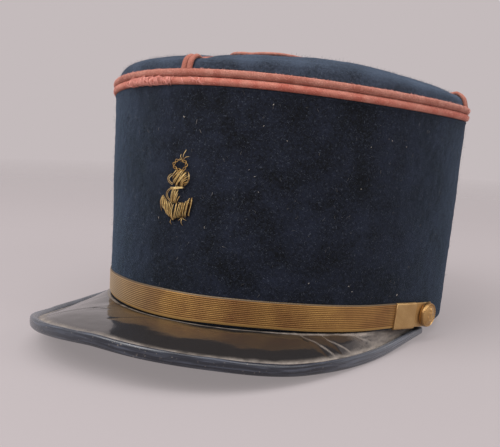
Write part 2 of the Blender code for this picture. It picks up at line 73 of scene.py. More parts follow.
def add_node(tree, kind, links=None, **settings):
    """A node with its settings, and for each named or numbered input a value or another node's output."""
    made = tree.nodes.new("ShaderNode" + kind)
    for name, value in settings.items():
        setattr(made, name, value)
    for name, value in (links or {}).items():
        if isinstance(value, bpy.types.NodeSocket):
            tree.links.new(value, made.inputs[name])
        else:
            made.inputs[name].default_value = value
    return made


def new_material(name, **surface_values):
    """A material with its node tree and its Principled surface, whose plain values are set by name."""
    material = bpy.data.materials.new(name)
    material.use_nodes = True
    surface = material.node_tree.nodes["Principled BSDF"]
    for socket, value in surface_values.items():
        surface.inputs[socket.replace("_", " ")].default_value = value
    return material, material.node_tree, surface


def skin(name, points, close_rows=False, close_columns=False, lay=None, marks=None):
    """Quads over grids of points (..., rows, columns, 3), facing the way that column step x row step points.

    lay gives the UV map: a mark for each row and each column, with one more where that direction closes.
    marks are named float attributes, one number for each point. Points that coincide are welded.
    """
    points = np.asarray(points, dtype=float)
    rows, columns = points.shape[-3:-1]
    grids = points.size // (rows * columns * 3)
    row = np.arange(rows - 1 + close_rows)[:, None, None] + np.array([0, 0, 1, 1])
    column = np.arange(columns - 1 + close_columns)[None, :, None] + np.array([0, 1, 1, 0])
    quads = ((row % rows) * columns + column % columns).reshape(1, -1, 4)
    corners = (quads + rows * columns * np.arange(grids)[:, None, None]).reshape(-1)
    mesh = bpy.data.meshes.new(name)
    mesh.vertices.add(grids * rows * columns)
    mesh.vertices.foreach_set("co", points.astype(np.float32).ravel())
    mesh.loops.add(len(corners))
    mesh.loops.foreach_set("vertex_index", corners.astype(np.int32))
    mesh.polygons.add(len(corners) // 4)
    mesh.polygons.foreach_set("loop_start", np.arange(0, len(corners), 4, dtype=np.int32))
    mesh.update(calc_edges=True)
    if lay is not None:
        along, across = np.broadcast_arrays(lay[1][column], lay[0][row])
        chart = np.tile(np.stack([along, across], axis=-1).reshape(-1), grids)
        mesh.uv_layers.new(name="lay").data.foreach_set("uv", chart.astype(np.float32))
    for word, values in (marks or {}).items():
        attribute = mesh.attributes.new(word, "FLOAT", "POINT")
        spread = np.broadcast_to(values, points.shape[:-1])
        attribute.data.foreach_set("value", spread.astype(np.float32).ravel())
    shape = bmesh.new()
    shape.from_mesh(mesh)
    bmesh.ops.remove_doubles(shape, verts=shape.verts, dist=1e-7)
    shape.to_mesh(mesh)
    shape.free()
    mesh.shade_smooth()
    return mesh


def show(name, mesh, material):
    """An object for a mesh and its material."""
    thing = bpy.data.objects.new(name, mesh)
    mesh.materials.append(material)
    bpy.context.scene.collection.objects.link(thing)
    return thing


FLOOR_REACH = 2.0
FLOOR_FADE = (0.5, 1.4)
BACKDROP = hex_color("C4BBBC")
FLOOR = hex_color("767071")
FLOOR_GLOW = 0.45  # a lit board: this share of the backdrop's light is the board's own

board, tree, surface = new_material(
    "painted board", Base_Color=FLOOR, Roughness=0.9, Emission_Color=BACKDROP, Emission_Strength=FLOOR_GLOW
)
place = add_node(tree, "TexCoord").outputs["Object"]
reach = add_node(tree, "VectorMath", {0: place}, operation="LENGTH").outputs["Value"]
fade = add_node(tree, "MapRange", {"Value": reach, "From Min": FLOOR_FADE[0], "From Max": FLOOR_FADE[1]})
clear = add_node(tree, "BsdfTransparent")
mixed = add_node(tree, "MixShader", {0: fade.outputs[0], 1: surface.outputs[0], 2: clear.outputs[0]})
tree.links.new(mixed.outputs[0], tree.nodes["Material Output"].inputs["Surface"])

turn = np.linspace(0.0, 2 * np.pi, 48, endpoint=False)
radius = np.linspace(FLOOR_REACH, 0.0, 6)[:, None]
floor = np.stack(np.broadcast_arrays(radius * np.sin(turn), -radius * np.cos(turn), 0.0 * radius), axis=-1)
show("floor", skin("floor", floor, close_columns=True), board)

# The light: an even pale surround, a broad lamp overhead and to the front, and a weaker one on the right.
world = bpy.data.worlds.new("surround")
world.use_nodes = True
world.node_tree.nodes["Background"].inputs["Color"].default_value = BACKDROP
bpy.context.scene.world = world

LAMPS = (
    # name, distance, degrees round from the front, degrees up, width, watts
    ("lamp_front", 1.3, -25.0, 48.0, 0.9, 14.0),
    ("lamp_top", 1.2, 40.0, 80.0, 1.0, 8.0),
    ("lamp_right", 1.4, 95.0, 30.0, 0.7, 5.0),
)
LAMP_AIM_HEIGHT = 0.06
for name, distance, degrees_round, degrees_up, width, watts in LAMPS:
    light = bpy.data.lights.new(name, "AREA")
    light.size = width
    light.energy = watts
    lamp = bpy.data.objects.new(name, light)
    lamp.matrix_world = (
        Matrix.Translation((0.0, 0.0, LAMP_AIM_HEIGHT))
        @ Matrix.Rotation(np.radians(degrees_round), 4, "Z")
        @ Matrix.Rotation(np.radians(90.0 - degrees_up), 4, "X")
        @ Matrix.Translation((0.0, 0.0, distance))
    )
    bpy.context.scene.collection.objects.link(lamp)


# The wall: an oval tube of stiff navy wool felt, 2.5 mm thick, that flares a little towards the top. It is
# pressed and cut from a sheet, so its face has a fine nap, soft waves and the fluff of years.
opening = {mount["name"]: mount for mount in frame["record"]["mounts"]}["head_opening"]
STAND_AT = np.array(opening["pos_m"])
TILT = np.arctan2(-opening["axis"][1], -opening["axis"][2])
GAP = 0.0003
WALL_LENGTH = 0.2004
WALL_WIDTH = 0.1728
WALL_HEIGHT = 0.1061
WALL_FELT = 0.0025
SIDE_FLARE = 0.0054
END_FLARE = -0.0015
FORWARD_LEAN = 0.0032
DIAGONAL_TRIM = 0.008
SEAM_TILT = 0.0030
SEAM_DIP = 0.0026
CORD = 0.0032
CORD_PITCH = CORD + GAP
CORD_SINK = 0.0008
SHOULDER = WALL_HEIGHT - CORD_PITCH / 2 - CORD / 2 - GAP
NECK_TOP = WALL_HEIGHT + CORD_PITCH / 2 + CORD / 2
NECK_INSET = CORD_SINK + CORD / 2 + GAP
WALL_COLUMNS = 480
WALL_ROWS = 110
WALL_EDGE = 0.0005  # how round the cut edge is
NAP_GRAIN = 0.0015
NAP_RELIEF = 0.00006
WAVE_GRAIN = 0.018
WAVE_RELIEF = 0.00018


def on_stand(points):
    """From the cap's frame to the world: y cos + z sin and z cos - y sin for the tilt, then to its place."""
    x, y, z = np.moveaxis(np.asarray(points, dtype=float), -1, 0)
    cos, sin = np.cos(TILT), np.sin(TILT)
    return np.stack([x, y * cos + z * sin, z * cos - y * sin], axis=-1) + STAND_AT


def wall_point(angle, height, outset=0.0):
    """The wall's outer face: an oval (half width x sin, -half length x cos) that changes with its height.

    angle is 0 at the front and a quarter turn at the wearer's left, and outset moves the point straight out.
    """
    share = height / WALL_HEIGHT
    trim = 1.0 + DIAGONAL_TRIM * np.cos(4 * angle)
    across = (WALL_WIDTH / 2 + SIDE_FLARE * share + outset) * trim * np.sin(angle)
    along = -(WALL_LENGTH / 2 + END_FLARE * share + outset) * trim * np.cos(angle) - FORWARD_LEAN * share
    wave = SEAM_DIP * np.cos(2 * angle) - SEAM_TILT * np.cos(angle)
    up = height + np.minimum(share, 1.0) * wave
    return np.stack(np.broadcast_arrays(across, along, up), axis=-1)


def lumps(shape, steps, grain, seed):
    """White noise blurred to lumps of one grain: each wave times exp(-(pi grain frequency)^2 / 2)."""
    noise = np.random.default_rng(seed).standard_normal(shape)
    down = np.fft.fftfreq(shape[0], steps[0])[:, None]
    along = np.fft.fftfreq(shape[1], steps[1])[None, :]
    kept = np.fft.fft2(noise) * np.exp(-0.5 * (np.pi * grain) ** 2 * (down**2 + along**2))
    smooth = np.fft.ifft2(kept).real
    return smooth / smooth.std()


def through(corners):
    """A line of points through a table's rows, whose last column counts the steps on to the next row."""
    pieces = []
    for start, end in zip(corners[:-1], corners[1:]):
        share = np.linspace(0.0, 1.0, int(start[-1]), endpoint=False)[:, None]
        pieces.append(np.array(start[:-1]) + (np.array(end[:-1]) - np.array(start[:-1])) * share)
    return np.vstack(pieces + [np.array(corners[-1][:-1])[None]])


WALL_SECTION = (
    # height, outset, steps to the next
    (0.0, -WALL_FELT + WALL_EDGE, 2),
    (0.0, -WALL_EDGE, 2),
    (WALL_EDGE / 3, -WALL_EDGE / 3, 1),
    (WALL_EDGE, 0.0, WALL_ROWS),
    (SHOULDER - WALL_EDGE, 0.0, 2),
    (SHOULDER, -WALL_EDGE, 2),
    (SHOULDER, -NECK_INSET, 2),
    (NECK_TOP, -NECK_INSET, 2),
    (NECK_TOP, -NECK_INSET - WALL_FELT, 2),
    (SHOULDER - WALL_FELT, -NECK_INSET - WALL_FELT, 2),
    (SHOULDER - WALL_FELT, -WALL_FELT, 16),
    (WALL_EDGE, -WALL_FELT, 1),
    (0.0, -WALL_FELT + WALL_EDGE, 0),
)
height, outset = through(WALL_SECTION)[:-1].T[:, :, None]
angle = np.linspace(0.0, 2 * np.pi, WALL_COLUMNS, endpoint=False)
column_step = (WALL_LENGTH + WALL_WIDTH) * np.pi / 2 / WALL_COLUMNS
steps = (SHOULDER / WALL_ROWS, column_step)
outside = (outset > -WALL_EDGE / 2) & (height > WALL_EDGE) & (height < SHOULDER - WALL_EDGE)
relief = NAP_RELIEF * lumps((len(height), WALL_COLUMNS), steps, NAP_GRAIN, 1)
relief += WAVE_RELIEF * lumps((len(height), WALL_COLUMNS), steps, WAVE_GRAIN, 2)
wall = on_stand(wall_point(angle, height, outset + outside * (relief - WAVE_RELIEF)))

# Wool felt: matted fibres without a weave. The eye gets a soft near-black face, a blue bloom where it turns
# away, dark and blue blotches a centimetre wide, mottles of 1 mm and short bright fibres.
FELT_DARK = hex_color("050609")
FELT_BLUE = hex_color("1D2230")
FELT_FLUFF = hex_color("4E5560")
FELT_BLOOM = hex_color("7A97B6")
FELT_SHEEN = 0.42
FELT_BLOTCH = 0.0143
FELT_MOTTLE = 0.00125
FELT_FIBRE = 0.000667
FELT_NAP = 0.000556


def wool_felt(name, dark, blue):
    """Wool felt, mottled between dark and blue. The sheen is its bloom: the light on its standing fibres."""
    felt, tree, surface = new_material(
        name,
        Roughness=0.95,
        Sheen_Weight=FELT_SHEEN,
        Sheen_Roughness=0.42,
        Sheen_Tint=FELT_BLOOM,
        Specular_IOR_Level=0.2,
    )
    place = add_node(tree, "TexCoord").outputs["Object"]
    blotch = add_node(tree, "TexNoise", {"Vector": place, "Scale": 1 / FELT_BLOTCH, "Detail": 3.0})
    grain = {"Vector": place, "Scale": 1 / FELT_MOTTLE, "Detail": 4.0, "Roughness": 0.65}
    mottle = add_node(tree, "TexNoise", grain)
    tone = add_node(tree, "Math", {0: blotch.outputs[0], 1: mottle.outputs[0]}, operation="ADD")
    spread = add_node(tree, "MapRange", {"Value": tone.outputs[0], "From Min": 0.75, "From Max": 1.3})
    cloth = add_node(tree, "Mix", {0: spread.outputs[0], 6: dark, 7: blue}, data_type="RGBA")
    fibre = {"Vector": place, "Scale": 1 / FELT_FIBRE, "Detail": 2.0, "Distortion": 1.5}
    fluff = add_node(tree, "TexNoise", fibre)
    span = {"Value": fluff.outputs[0], "From Min": 0.60, "From Max": 0.80}
    fluff_share = add_node(tree, "MapRange", span)
    tones = {0: fluff_share.outputs[0], 6: cloth.outputs[2], 7: FELT_FLUFF}
    color = add_node(tree, "Mix", tones, data_type="RGBA")
    tree.links.new(color.outputs[2], surface.inputs["Base Color"])
    pile = {"Vector": place, "Scale": 1 / FELT_NAP, "Detail": 5.0, "Roughness": 0.7}
    nap = add_node(tree, "TexNoise", pile)
    bump = add_node(tree, "Bump", {"Height": nap.outputs[0], "Strength": 0.7, "Distance": 0.0005})
    tree.links.new(bump.outputs[0], surface.inputs["Normal"])
    return felt


navy_felt = wool_felt("navy wool felt", FELT_DARK, FELT_BLUE)
crown_wall = show("wall_felt", skin("wall_felt", wall, close_rows=True, close_columns=True), navy_felt)
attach(crown_wall, "root")
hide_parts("crown_wall")

# The top: one piece of the same felt, blocked into a low dome. Its edge stands up steeply behind the upper
# seam cord, and the knot's arms press a dent into it.
TOP_FELT = 0.0020
TOP_INSET = 0.0015
TOP_RISE = 0.0138
TOP_PUFF = 0.0010
TOP_BASE = NECK_TOP + GAP
TOP_PROFILE = (
    # share of the radius, share of the rise, share of the puff
    (0.000, 1.000, 0.00),
    (0.250, 0.986, 0.10),
    (0.500, 0.920, 0.45),
    (0.700, 0.812, 0.85),
    (0.800, 0.739, 1.00),
    (0.880, 0.616, 1.00),
    (0.930, 0.488, 0.95),
    (0.960, 0.400, 0.68),
    (0.980, 0.300, 0.40),
    (0.992, 0.180, 0.15),
    (1.000, 0.000, 0.00),
)
ARM_ANGLES = (0.0, 97.5, 180.0, -97.5)  # degrees round from the front
ARM_DENT = 0.0011
ARM_DENT_WIDTH = 0.0050
ARM_DENT_SHARES = (0.955, 0.90)  # of the radius, between which the dents begin
TOP_COLUMNS = 400
TOP_ROWS = 110
TOP_UNDER_ROWS = 12
TOP_CROWDING = 1.6  # how much closer its rows lie at the edge
TOP_STEPS = (0.0008, 0.0011)  # about how far apart its points lie, inwards and round
TOP_WAVE_GRAIN = 0.009
# Painted light: the top's felt gets lighter colours than the wall's, for the light that falls on it from
# overhead.
TOP_LIT_DARK = hex_color("12151C")
TOP_LIT_BLUE = hex_color("363E4C")


def smooth_table(table, values, column=1):
    """A smooth curve through a table's rows: cubic pieces, each row's slope as between its neighbours."""
    known, heights = np.array(table)[:, [0, column]].T
    slopes = np.gradient(heights, known)
    left = np.clip(np.searchsorted(known, values) - 1, 0, len(known) - 2)
    span = known[left + 1] - known[left]
    s = (values - known[left]) / span
    return (
        heights[left] * (2 * s**3 - 3 * s**2 + 1)
        + heights[left + 1] * (3 * s**2 - 2 * s**3)
        + slopes[left] * span * (s**3 - 2 * s**2 + s)
        + slopes[left + 1] * span * (s**3 - s**2)
    )


def top_point(angle, radius, rise, inset=0.0):
    """The top: the wall's oval at the seam, shrunk to radius times its size and raised by rise."""
    trim = 1.0 + DIAGONAL_TRIM * np.cos(4 * angle)
    across = (WALL_WIDTH / 2 + SIDE_FLARE - TOP_INSET - inset) * radius * trim * np.sin(angle)
    along = -(WALL_LENGTH / 2 + END_FLARE - TOP_INSET - inset) * radius * trim * np.cos(angle) - FORWARD_LEAN
    wave = SEAM_DIP * np.cos(2 * angle) * radius**2 - SEAM_TILT * np.cos(angle) * radius
    return np.stack(np.broadcast_arrays(across, along, TOP_BASE + rise + wave), axis=-1)


def top_rise(angle, radius):
    """The top's rise: its profile, with a puff between the arms and a bell-shaped dent under each."""
    dent = 0.0
    inward = np.clip((ARM_DENT_SHARES[0] - radius) / (ARM_DENT_SHARES[0] - ARM_DENT_SHARES[1]), 0.0, 1.0)
    for arm in np.radians(ARM_ANGLES):
        aside = radius * WALL_LENGTH / 2 * np.sin(angle - arm)
        dent = dent + inward * (np.cos(angle - arm) > 0) * np.exp(-((aside / ARM_DENT_WIDTH) ** 2))
    drawn = TOP_PUFF * np.cos(4 * angle) + ARM_DENT * dent
    return TOP_RISE * smooth_table(TOP_PROFILE, radius) - drawn * smooth_table(TOP_PROFILE, radius, 2)


angle = np.linspace(0.0, 2 * np.pi, TOP_COLUMNS, endpoint=False)
share = np.linspace(0.0, 1.0, TOP_ROWS)[:, None]
radius = 1.0 - share**TOP_CROWDING
nap = lumps((TOP_ROWS, TOP_COLUMNS), TOP_STEPS, NAP_GRAIN, 3) * NAP_RELIEF
nap += lumps((TOP_ROWS, TOP_COLUMNS), TOP_STEPS, TOP_WAVE_GRAIN, 4) * WAVE_RELIEF
nap *= (radius * (1 - radius) * 4).clip(0.0, 1.0)
outer = top_point(angle, radius, top_rise(angle, radius) + nap)
under_radius = np.linspace(0.0, 1.0, TOP_UNDER_ROWS)[:, None]
under = top_point(angle, under_radius, np.maximum(top_rise(angle, under_radius) - TOP_FELT, 0.0), TOP_FELT)
top_mesh = skin("top_felt", on_stand(np.concatenate([outer, under])), close_rows=True, close_columns=True)
crown_top = show("top_felt", top_mesh, wool_felt("blocked wool felt", TOP_LIT_DARK, TOP_LIT_BLUE))
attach(crown_top, "root")
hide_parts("crown_top")

# The two seam cords: twisted red wool, faded to salmon, sewn side by side round the top seam. The upper one,
# which faces up, has browned.
CORD_PLIES = 6
CORD_LEAD = 0.0078  # one full turn of a ply
CORD_STATIONS = 1440
CORD_SIDES = 20


def twisted_cord(path, normal, radius, plies, lead, sides, depth, closed, flatness=1.0):
    """A rope: rings round a path, whose radius falls by depth between plies that turn once in each lead.

    flatness is the rings' height along the normal as a share of their width. An open cord is cut flat where
    it starts and rounded where it ends.

    Returns the points, how far each lies up its ply, and the marks along and round the cord.
    """
    step = np.linalg.norm(np.diff(path, axis=0, append=path[:1] if closed else path[-1:]), axis=1)
    length = step.sum()
    marks = np.concatenate([[0.0], np.cumsum(step)])[: len(path)]
    turns = max(1.0, np.round(length / lead * plies)) / plies
    ahead = np.roll(path, -1, axis=0) - np.roll(path, 1, axis=0) if closed else np.gradient(path, axis=0)
    ahead /= np.linalg.norm(ahead, axis=1, keepdims=True)
    normal = normal - ahead * np.sum(normal * ahead, axis=1, keepdims=True)
    normal /= np.linalg.norm(normal, axis=1, keepdims=True)
    beside = np.cross(ahead, normal)
    turn = np.linspace(0.0, 2 * np.pi, sides, endpoint=False)
    phase = plies * (turn - 2 * np.pi * turns * marks[:, None] / length)
    crest = np.abs(np.sin(phase / 2))
    swell = radius * (1.0 - depth * (1.0 - crest**0.7))
    if not closed:
        swell = swell * np.sqrt(1.0 - (1.0 - ((length - marks) / radius).clip(0.0, 1.0)) ** 2)[:, None]
        swell[0] = 0.0
    around = flatness * np.cos(turn)[:, None] * normal[:, None] + np.sin(turn)[:, None] * beside[:, None]
    points = path[:, None] + swell[..., None] * around
    along = np.append(marks, length) if closed else marks
    return points, crest, along, np.append(turn, 2 * np.pi) * radius


# Worsted cord: hard twisted wool yarn with fluff. The eye gets salmon crests, grooves in painted shade (a
# darker red) and a pale bloom. The light and the dust of years have browned the cords that face up.
CORD_GROOVE_SHADE = hex_color("8E3A30")
CORD_BLOOM = hex_color("F0C4B8")
CORD_PATCH = 0.00625
CORD_FIBRE = 0.000455


def worsted(name, faded, plain):
    """Cord whose colour runs between faded and plain in patches, with painted shade, a darker red, between the
    plies.
    """
    wool, tree, surface = new_material(
        name, Roughness=0.9, Sheen_Weight=0.2, Sheen_Roughness=0.4, Sheen_Tint=CORD_BLOOM
    )
    place = add_node(tree, "TexCoord").outputs["Object"]
    crest = add_node(tree, "Attribute", attribute_name="crest")
    fade = add_node(tree, "TexNoise", {"Vector": place, "Scale": 1 / CORD_PATCH, "Detail": 4.0})
    hairs = {"Vector": place, "Scale": 1 / CORD_FIBRE, "Detail": 4.0, "Roughness": 0.7}
    fibre = add_node(tree, "TexNoise", hairs)
    worn = add_node(tree, "MapRange", {"Value": fade.outputs[0], "From Min": 0.38, "From Max": 0.62})
    patchy = add_node(tree, "Mix", {0: worn.outputs[0], 6: plain, 7: faded}, data_type="RGBA")
    # Painted shade: the grooves between the plies are painted a darker red.
    depth = add_node(tree, "MapRange", {"Value": crest.outputs["Fac"], "From Max": 0.5, "To Min": 0.55})
    tones = {0: depth.outputs[0], 6: CORD_GROOVE_SHADE, 7: patchy.outputs[2]}
    color = add_node(tree, "Mix", tones, data_type="RGBA")
    mixing = {0: 0.5, 6: color.outputs[2], 7: fibre.outputs[0]}
    flecked = add_node(tree, "Mix", mixing, data_type="RGBA", blend_type="OVERLAY")
    tree.links.new(flecked.outputs[2], surface.inputs["Base Color"])
    bump = add_node(tree, "Bump", {"Height": fibre.outputs[0], "Strength": 0.8, "Distance": 0.0004})
    tree.links.new(bump.outputs[0], surface.inputs["Normal"])
    return wool


red_wool = worsted("faded red wool cord", hex_color("C58270"), hex_color("B36150"))
browned_wool = worsted("browned red wool cord", hex_color("AC7565"), hex_color("985A4A"))

CORD_DEPTH = 0.06  # how much of a cord's radius its plies' grooves take
CORDS = (
    # name, node, wool, place over the seam in cords
    ("seam_cord_lower", "piping_lower", red_wool, -0.5),
    ("seam_cord_upper", "piping_upper", browned_wool, 0.5),
)
angle = np.linspace(0.0, 2 * np.pi, CORD_STATIONS, endpoint=False)
for name, node, wool, offset in CORDS:
    seam = WALL_HEIGHT + offset * CORD_PITCH
    path = wall_point(angle, seam, -CORD_SINK)
    normal = wall_point(angle, seam, CORD) - path
    points, crest, along, around = twisted_cord(
        path, normal, CORD_PITCH / 2, CORD_PLIES, CORD_LEAD, CORD_SIDES, CORD_DEPTH, True
    )
    mesh = skin(name, on_stand(points), True, True, (along, around), {"crest": crest})
    cord = show(name, mesh, wool)
    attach(cord, "root")
    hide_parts(node)

# The knot on the top: two thinner cords side by side, sewn down in four loops, and in four arms that run down
# the top's edge to the seam, at the front, the back and both sides.
TOP_CORD = 0.0028
TOP_CORD_HEIGHT = 0.0020
CORD_BED = 0.0005  # how deep the cords are sunk in the felt
KNOT_REACH = 0.0440
KNOT_INNER_SHARE = 0.35
KNOT_LIFT = 0.0007
KNOT_FRONT_LIFT = 0.0014  # the front loop stands up where it meets the arm
KNOT_FRONT = (-0.026, -0.040)  # metres back from the middle, between which it rises
KNOT_STATIONS = 1100
KNOT_SIDES = 14
KNOT_LEAD = 0.0056
KNOT_PLIES = 5
KNOT_DEPTH = 0.12
ARM_INNER = 0.47
ARM_STATIONS = 160
ARM_SINK = 0.0016
ARM_FOOT = 0.0018  # how far their ends run down behind the upper seam cord
ARM_FOOT_STATIONS = 26
ARM_SINK_SHARES = (0.955, 0.915)  # of the radius, between which the arms sink into the felt


def on_top(points):
    """Lay flat points (right, back, height) on the top, with their heights square to its surface."""

    def surface_at(x, y):
        angle = np.arctan2(x, -y)
        trim = 1.0 + DIAGONAL_TRIM * np.cos(4 * angle)
        half_width = (WALL_WIDTH / 2 + SIDE_FLARE - TOP_INSET) * trim
        half_length = (WALL_LENGTH / 2 + END_FLARE - TOP_INSET) * trim
        radius = np.hypot(x / half_width, y / half_length)
        angle = np.arctan2(x / half_width, -y / half_length)
        return top_point(angle, radius, top_rise(angle, radius))

    step = 2e-4
    x, y, height = np.moveaxis(points, -1, 0)
    place = surface_at(x, y)
    normal = np.cross(surface_at(x + step, y) - place, surface_at(x, y + step) - place)
    normal /= np.linalg.norm(normal, axis=-1, keepdims=True)
    return place + normal * height[..., None], normal


def lay_pair(flat, closed):
    """Two cords beside each other along a flat path: its line moved half a cord to either side."""
    ahead = np.roll(flat, -1, axis=0) - np.roll(flat, 1, axis=0) if closed else np.gradient(flat, axis=0)
    ahead = ahead[:, :2] / np.linalg.norm(ahead[:, :2], axis=1, keepdims=True)
    made = []
    for side in (-0.5, 0.5):
        line = flat + [0.0, 0.0, TOP_CORD_HEIGHT / 2 - CORD_BED]
        line[:, 0] += side * TOP_CORD * ahead[:, 1]
        line[:, 1] -= side * TOP_CORD * ahead[:, 0]
        path, normal = on_top(line)
        flatness = TOP_CORD_HEIGHT / TOP_CORD
        twist = (KNOT_PLIES, KNOT_LEAD, KNOT_SIDES, KNOT_DEPTH, closed, flatness)
        made.append(twisted_cord(path, normal, TOP_CORD / 2, *twist))
    return made


slow = KNOT_REACH * KNOT_INNER_SHARE
fast = KNOT_REACH - slow
turn = np.linspace(0.0, 2 * np.pi, KNOT_STATIONS, endpoint=False)
right = slow * np.sin(turn) - fast * np.sin(3 * turn)
back = -slow * np.cos(turn) - fast * np.cos(3 * turn)
rise = CORD_BED + GAP + KNOT_LIFT * (1 + np.sin(4 * turn)) / 2
rise += KNOT_FRONT_LIFT * np.clip((back - KNOT_FRONT[0]) / (KNOT_FRONT[1] - KNOT_FRONT[0]), 0.0, 1.0)
loops = np.stack([right, back, rise], axis=-1)
loop_meshes = lay_pair(loops, True)
mesh = skin(
    "top_knot",
    on_stand(np.stack([made[0] for made in loop_meshes])),
    True,
    True,
    loop_meshes[0][2:],
    {"crest": np.stack([made[1] for made in loop_meshes])},
)
knot = show("top_knot", mesh, browned_wool)
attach(knot, "root")
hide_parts("top_knot_cord")

arms = []
for turn in np.radians(ARM_ANGLES):
    edge = top_point(turn, 1.0, 0.0) - top_point(0.0, 0.0, 0.0)
    share = 1.0 - (1.0 - ARM_INNER) * np.linspace(0.0, 1.0, ARM_STATIONS)[:, None] ** 2
    inward = (ARM_SINK_SHARES[0] - share) / (ARM_SINK_SHARES[0] - ARM_SINK_SHARES[1])
    sunk = ARM_SINK * np.clip(inward, 0.0, 1.0)
    pair = lay_pair(np.hstack([share * edge[:2], GAP + KNOT_LIFT / 3 - sunk]), False)
    for made in pair:
        made[0][:ARM_FOOT_STATIONS, :, 2] -= ARM_FOOT * np.linspace(1.0, 0.0, ARM_FOOT_STATIONS)[:, None]
    arms += pair
mesh = skin(
    "knot_arms",
    on_stand(np.stack([made[0] for made in arms])),
    False,
    True,
    arms[0][2:],
    {"crest": np.stack([made[1] for made in arms])},
)
arm_cords = show("knot_arms", mesh, browned_wool)
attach(arm_cords, "root")

# The anchor: raised satin stitches of gold purl, a fine metal coil, over padding on the front of the wall.
# Years of wear have pulled some strands loose.
ANCHOR_FOOT = 0.0426
MILLIMETRE = 0.001
PURL = 0.00016  # a strand's radius
LOOSE_PURL = 0.00011
ANCHOR_STITCHES = (
    # strands, how bright (painted light and shade: 0 for the low padding strands, painted dark as in shade
    # under the rest, and more for the raised strands, painted lit), then across and up for three points of the
    # line where they start and of the one where they end, and how high and how far sideways they bow: all in
    # millimetres from the anchor's foot
    (15, 0.0, -7.6, 11.8, -5.2, 9.5, -1.9, 8.3, -6.6, 5.2, -3.8, 2.2, -1.2, 0.6, 0.4, 0.3),
    (10, 0.7, -7.4, 11.9, -4.6, 9.2, -2.0, 8.5, -6.4, 4.8, -3.4, 2.2, -1.2, 0.7, 1.0, 0.4),
    (15, 0.0, 7.4, 11.7, 3.9, 9.4, -0.4, 8.6, 6.2, 3.6, 2.2, 2.5, -1.7, 0.5, 0.4, -0.3),
    (10, 0.7, 7.3, 11.9, 3.6, 9.4, 0.0, 8.8, 5.8, 3.0, 1.8, 2.5, -1.4, 0.8, 1.0, -0.4),
    (5, 0.0, -1.9, 15.0, -1.2, 15.1, -0.5, 15.1, -2.6, 8.6, -1.8, 8.4, -1.0, 8.6, 0.5, 0.2),
    (3, 0.7, -1.8, 15.0, -1.4, 15.1, -1.0, 15.1, -2.5, 8.4, -2.1, 8.4, -1.6, 8.4, 1.1, 0.2),
    (5, 0.6, -0.5, 15.1, 0.6, 14.2, 1.2, 12.2, -1.4, 8.6, -0.6, 8.2, 0.2, 8.4, 1.1, -0.2),
    (14, 0.0, -3.0, 20.2, -2.8, 17.2, -1.2, 15.6, -0.8, 22.9, 1.8, 23.6, 4.2, 22.8, 0.5, 0.5),
    (9, 0.7, -3.0, 20.6, -2.6, 17.2, -0.6, 15.6, -0.6, 23.1, 2.0, 23.6, 4.3, 22.4, 1.2, 0.5),
    (6, 0.5, 0.2, 15.7, 1.6, 15.6, 2.6, 16.2, 4.2, 22.2, 4.9, 20.6, 4.9, 18.4, 1.1, -0.6),
    (3, 0.9, -3.9, 14.9, -3.9, 15.2, -3.8, 15.5, 3.4, 15.4, 3.5, 15.8, 3.4, 16.1, 1.6, 0.1),
)
ANCHOR_LOOSE = (
    # across and up for the start, two points that draw the strand aside, and the end
    (-3.0, 21.4, -5.8, 20.6, -5.6, 17.2, -2.4, 16.4),
    (-2.8, 20.8, -5.0, 19.6, -4.8, 17.8, -2.0, 16.9),
    (4.4, 22.8, 7.2, 21.6, 6.6, 17.4, 2.6, 16.2),
    (4.8, 22.0, 6.2, 20.0, 5.9, 18.2, 2.8, 16.6),
    (-2.8, 15.4, -6.2, 14.0, -6.2, 10.4, -2.6, 8.8),
    (-2.4, 15.2, -5.4, 13.6, -5.4, 10.8, -2.0, 8.9),
    (2.2, 27.4, 2.0, 29.0, 3.0, 30.6, 3.3, 32.2),
    (1.9, 27.6, 1.4, 28.4, 0.9, 29.2, 0.8, 30.2),
    (2.4, 27.4, 3.0, 28.4, 3.8, 29.2, 5.0, 29.2),
    (0.2, 27.2, 0.8, 27.9, 1.4, 28.0, 2.0, 27.4),
    (3.2, 2.8, 2.8, 1.8, 2.4, 1.4, 1.2, 0.9),
    (3.3, 2.6, 3.2, 1.0, 3.6, 0.2, 3.8, -0.9),
    (3.6, 2.8, 4.2, 2.2, 4.8, 2.0, 5.5, 1.6),
    (-8.0, 11.4, -9.0, 9.2, -7.8, 6.8, -8.1, 4.2),
    (-7.2, 11.4, -8.2, 10.0, -8.2, 8.0, -7.4, 5.6),
    (7.6, 10.8, 8.2, 8.4, 6.6, 5.6, 6.8, 3.4),
    (-2.6, 1.4, -2.2, 0.6, -2.2, 0.0, -1.9, -1.0),
    (0.9, 9.2, 1.8, 9.0, 2.8, 8.6, 3.9, 9.0),
)
ANCHOR_RING = (0.8, 25.4, 3.2, 2.2)  # middle across and up, and half width and height, in millimetres
ANCHOR_RING_WIND = 0.55  # how far its strands wind out from that line
ANCHOR_RING_TURNS = 4
ANCHOR_RING_STARTS = (0.0, 2.6)  # where its two strands start, in radians
STRAND_STATIONS = 16
STRAND_LIFT = 0.15  # millimetres off the felt
STRAND_SPACING_STRAY = 0.03  # share of half the line where a strand starts or ends
STRAND_END_STRAY = 0.24  # millimetres, as the next two
STRAND_BOW_STRAY = 0.18
STRAND_RISE_STRAY = 0.12
BRIGHT_STRAY = 0.3
# Painted light: the loose strands and the ring, which stand off the felt, are painted lighter.
LOOSE_PAINTED_LIT = 0.6
LOOSE_LIFT = (0.25, 0.9)  # millimetres off the felt at its ends, and more in its middle
RING_LIFT = (0.75, 0.35)  # millimetres off the felt, and how far its winding takes it up and down
chance = np.random.default_rng(11)


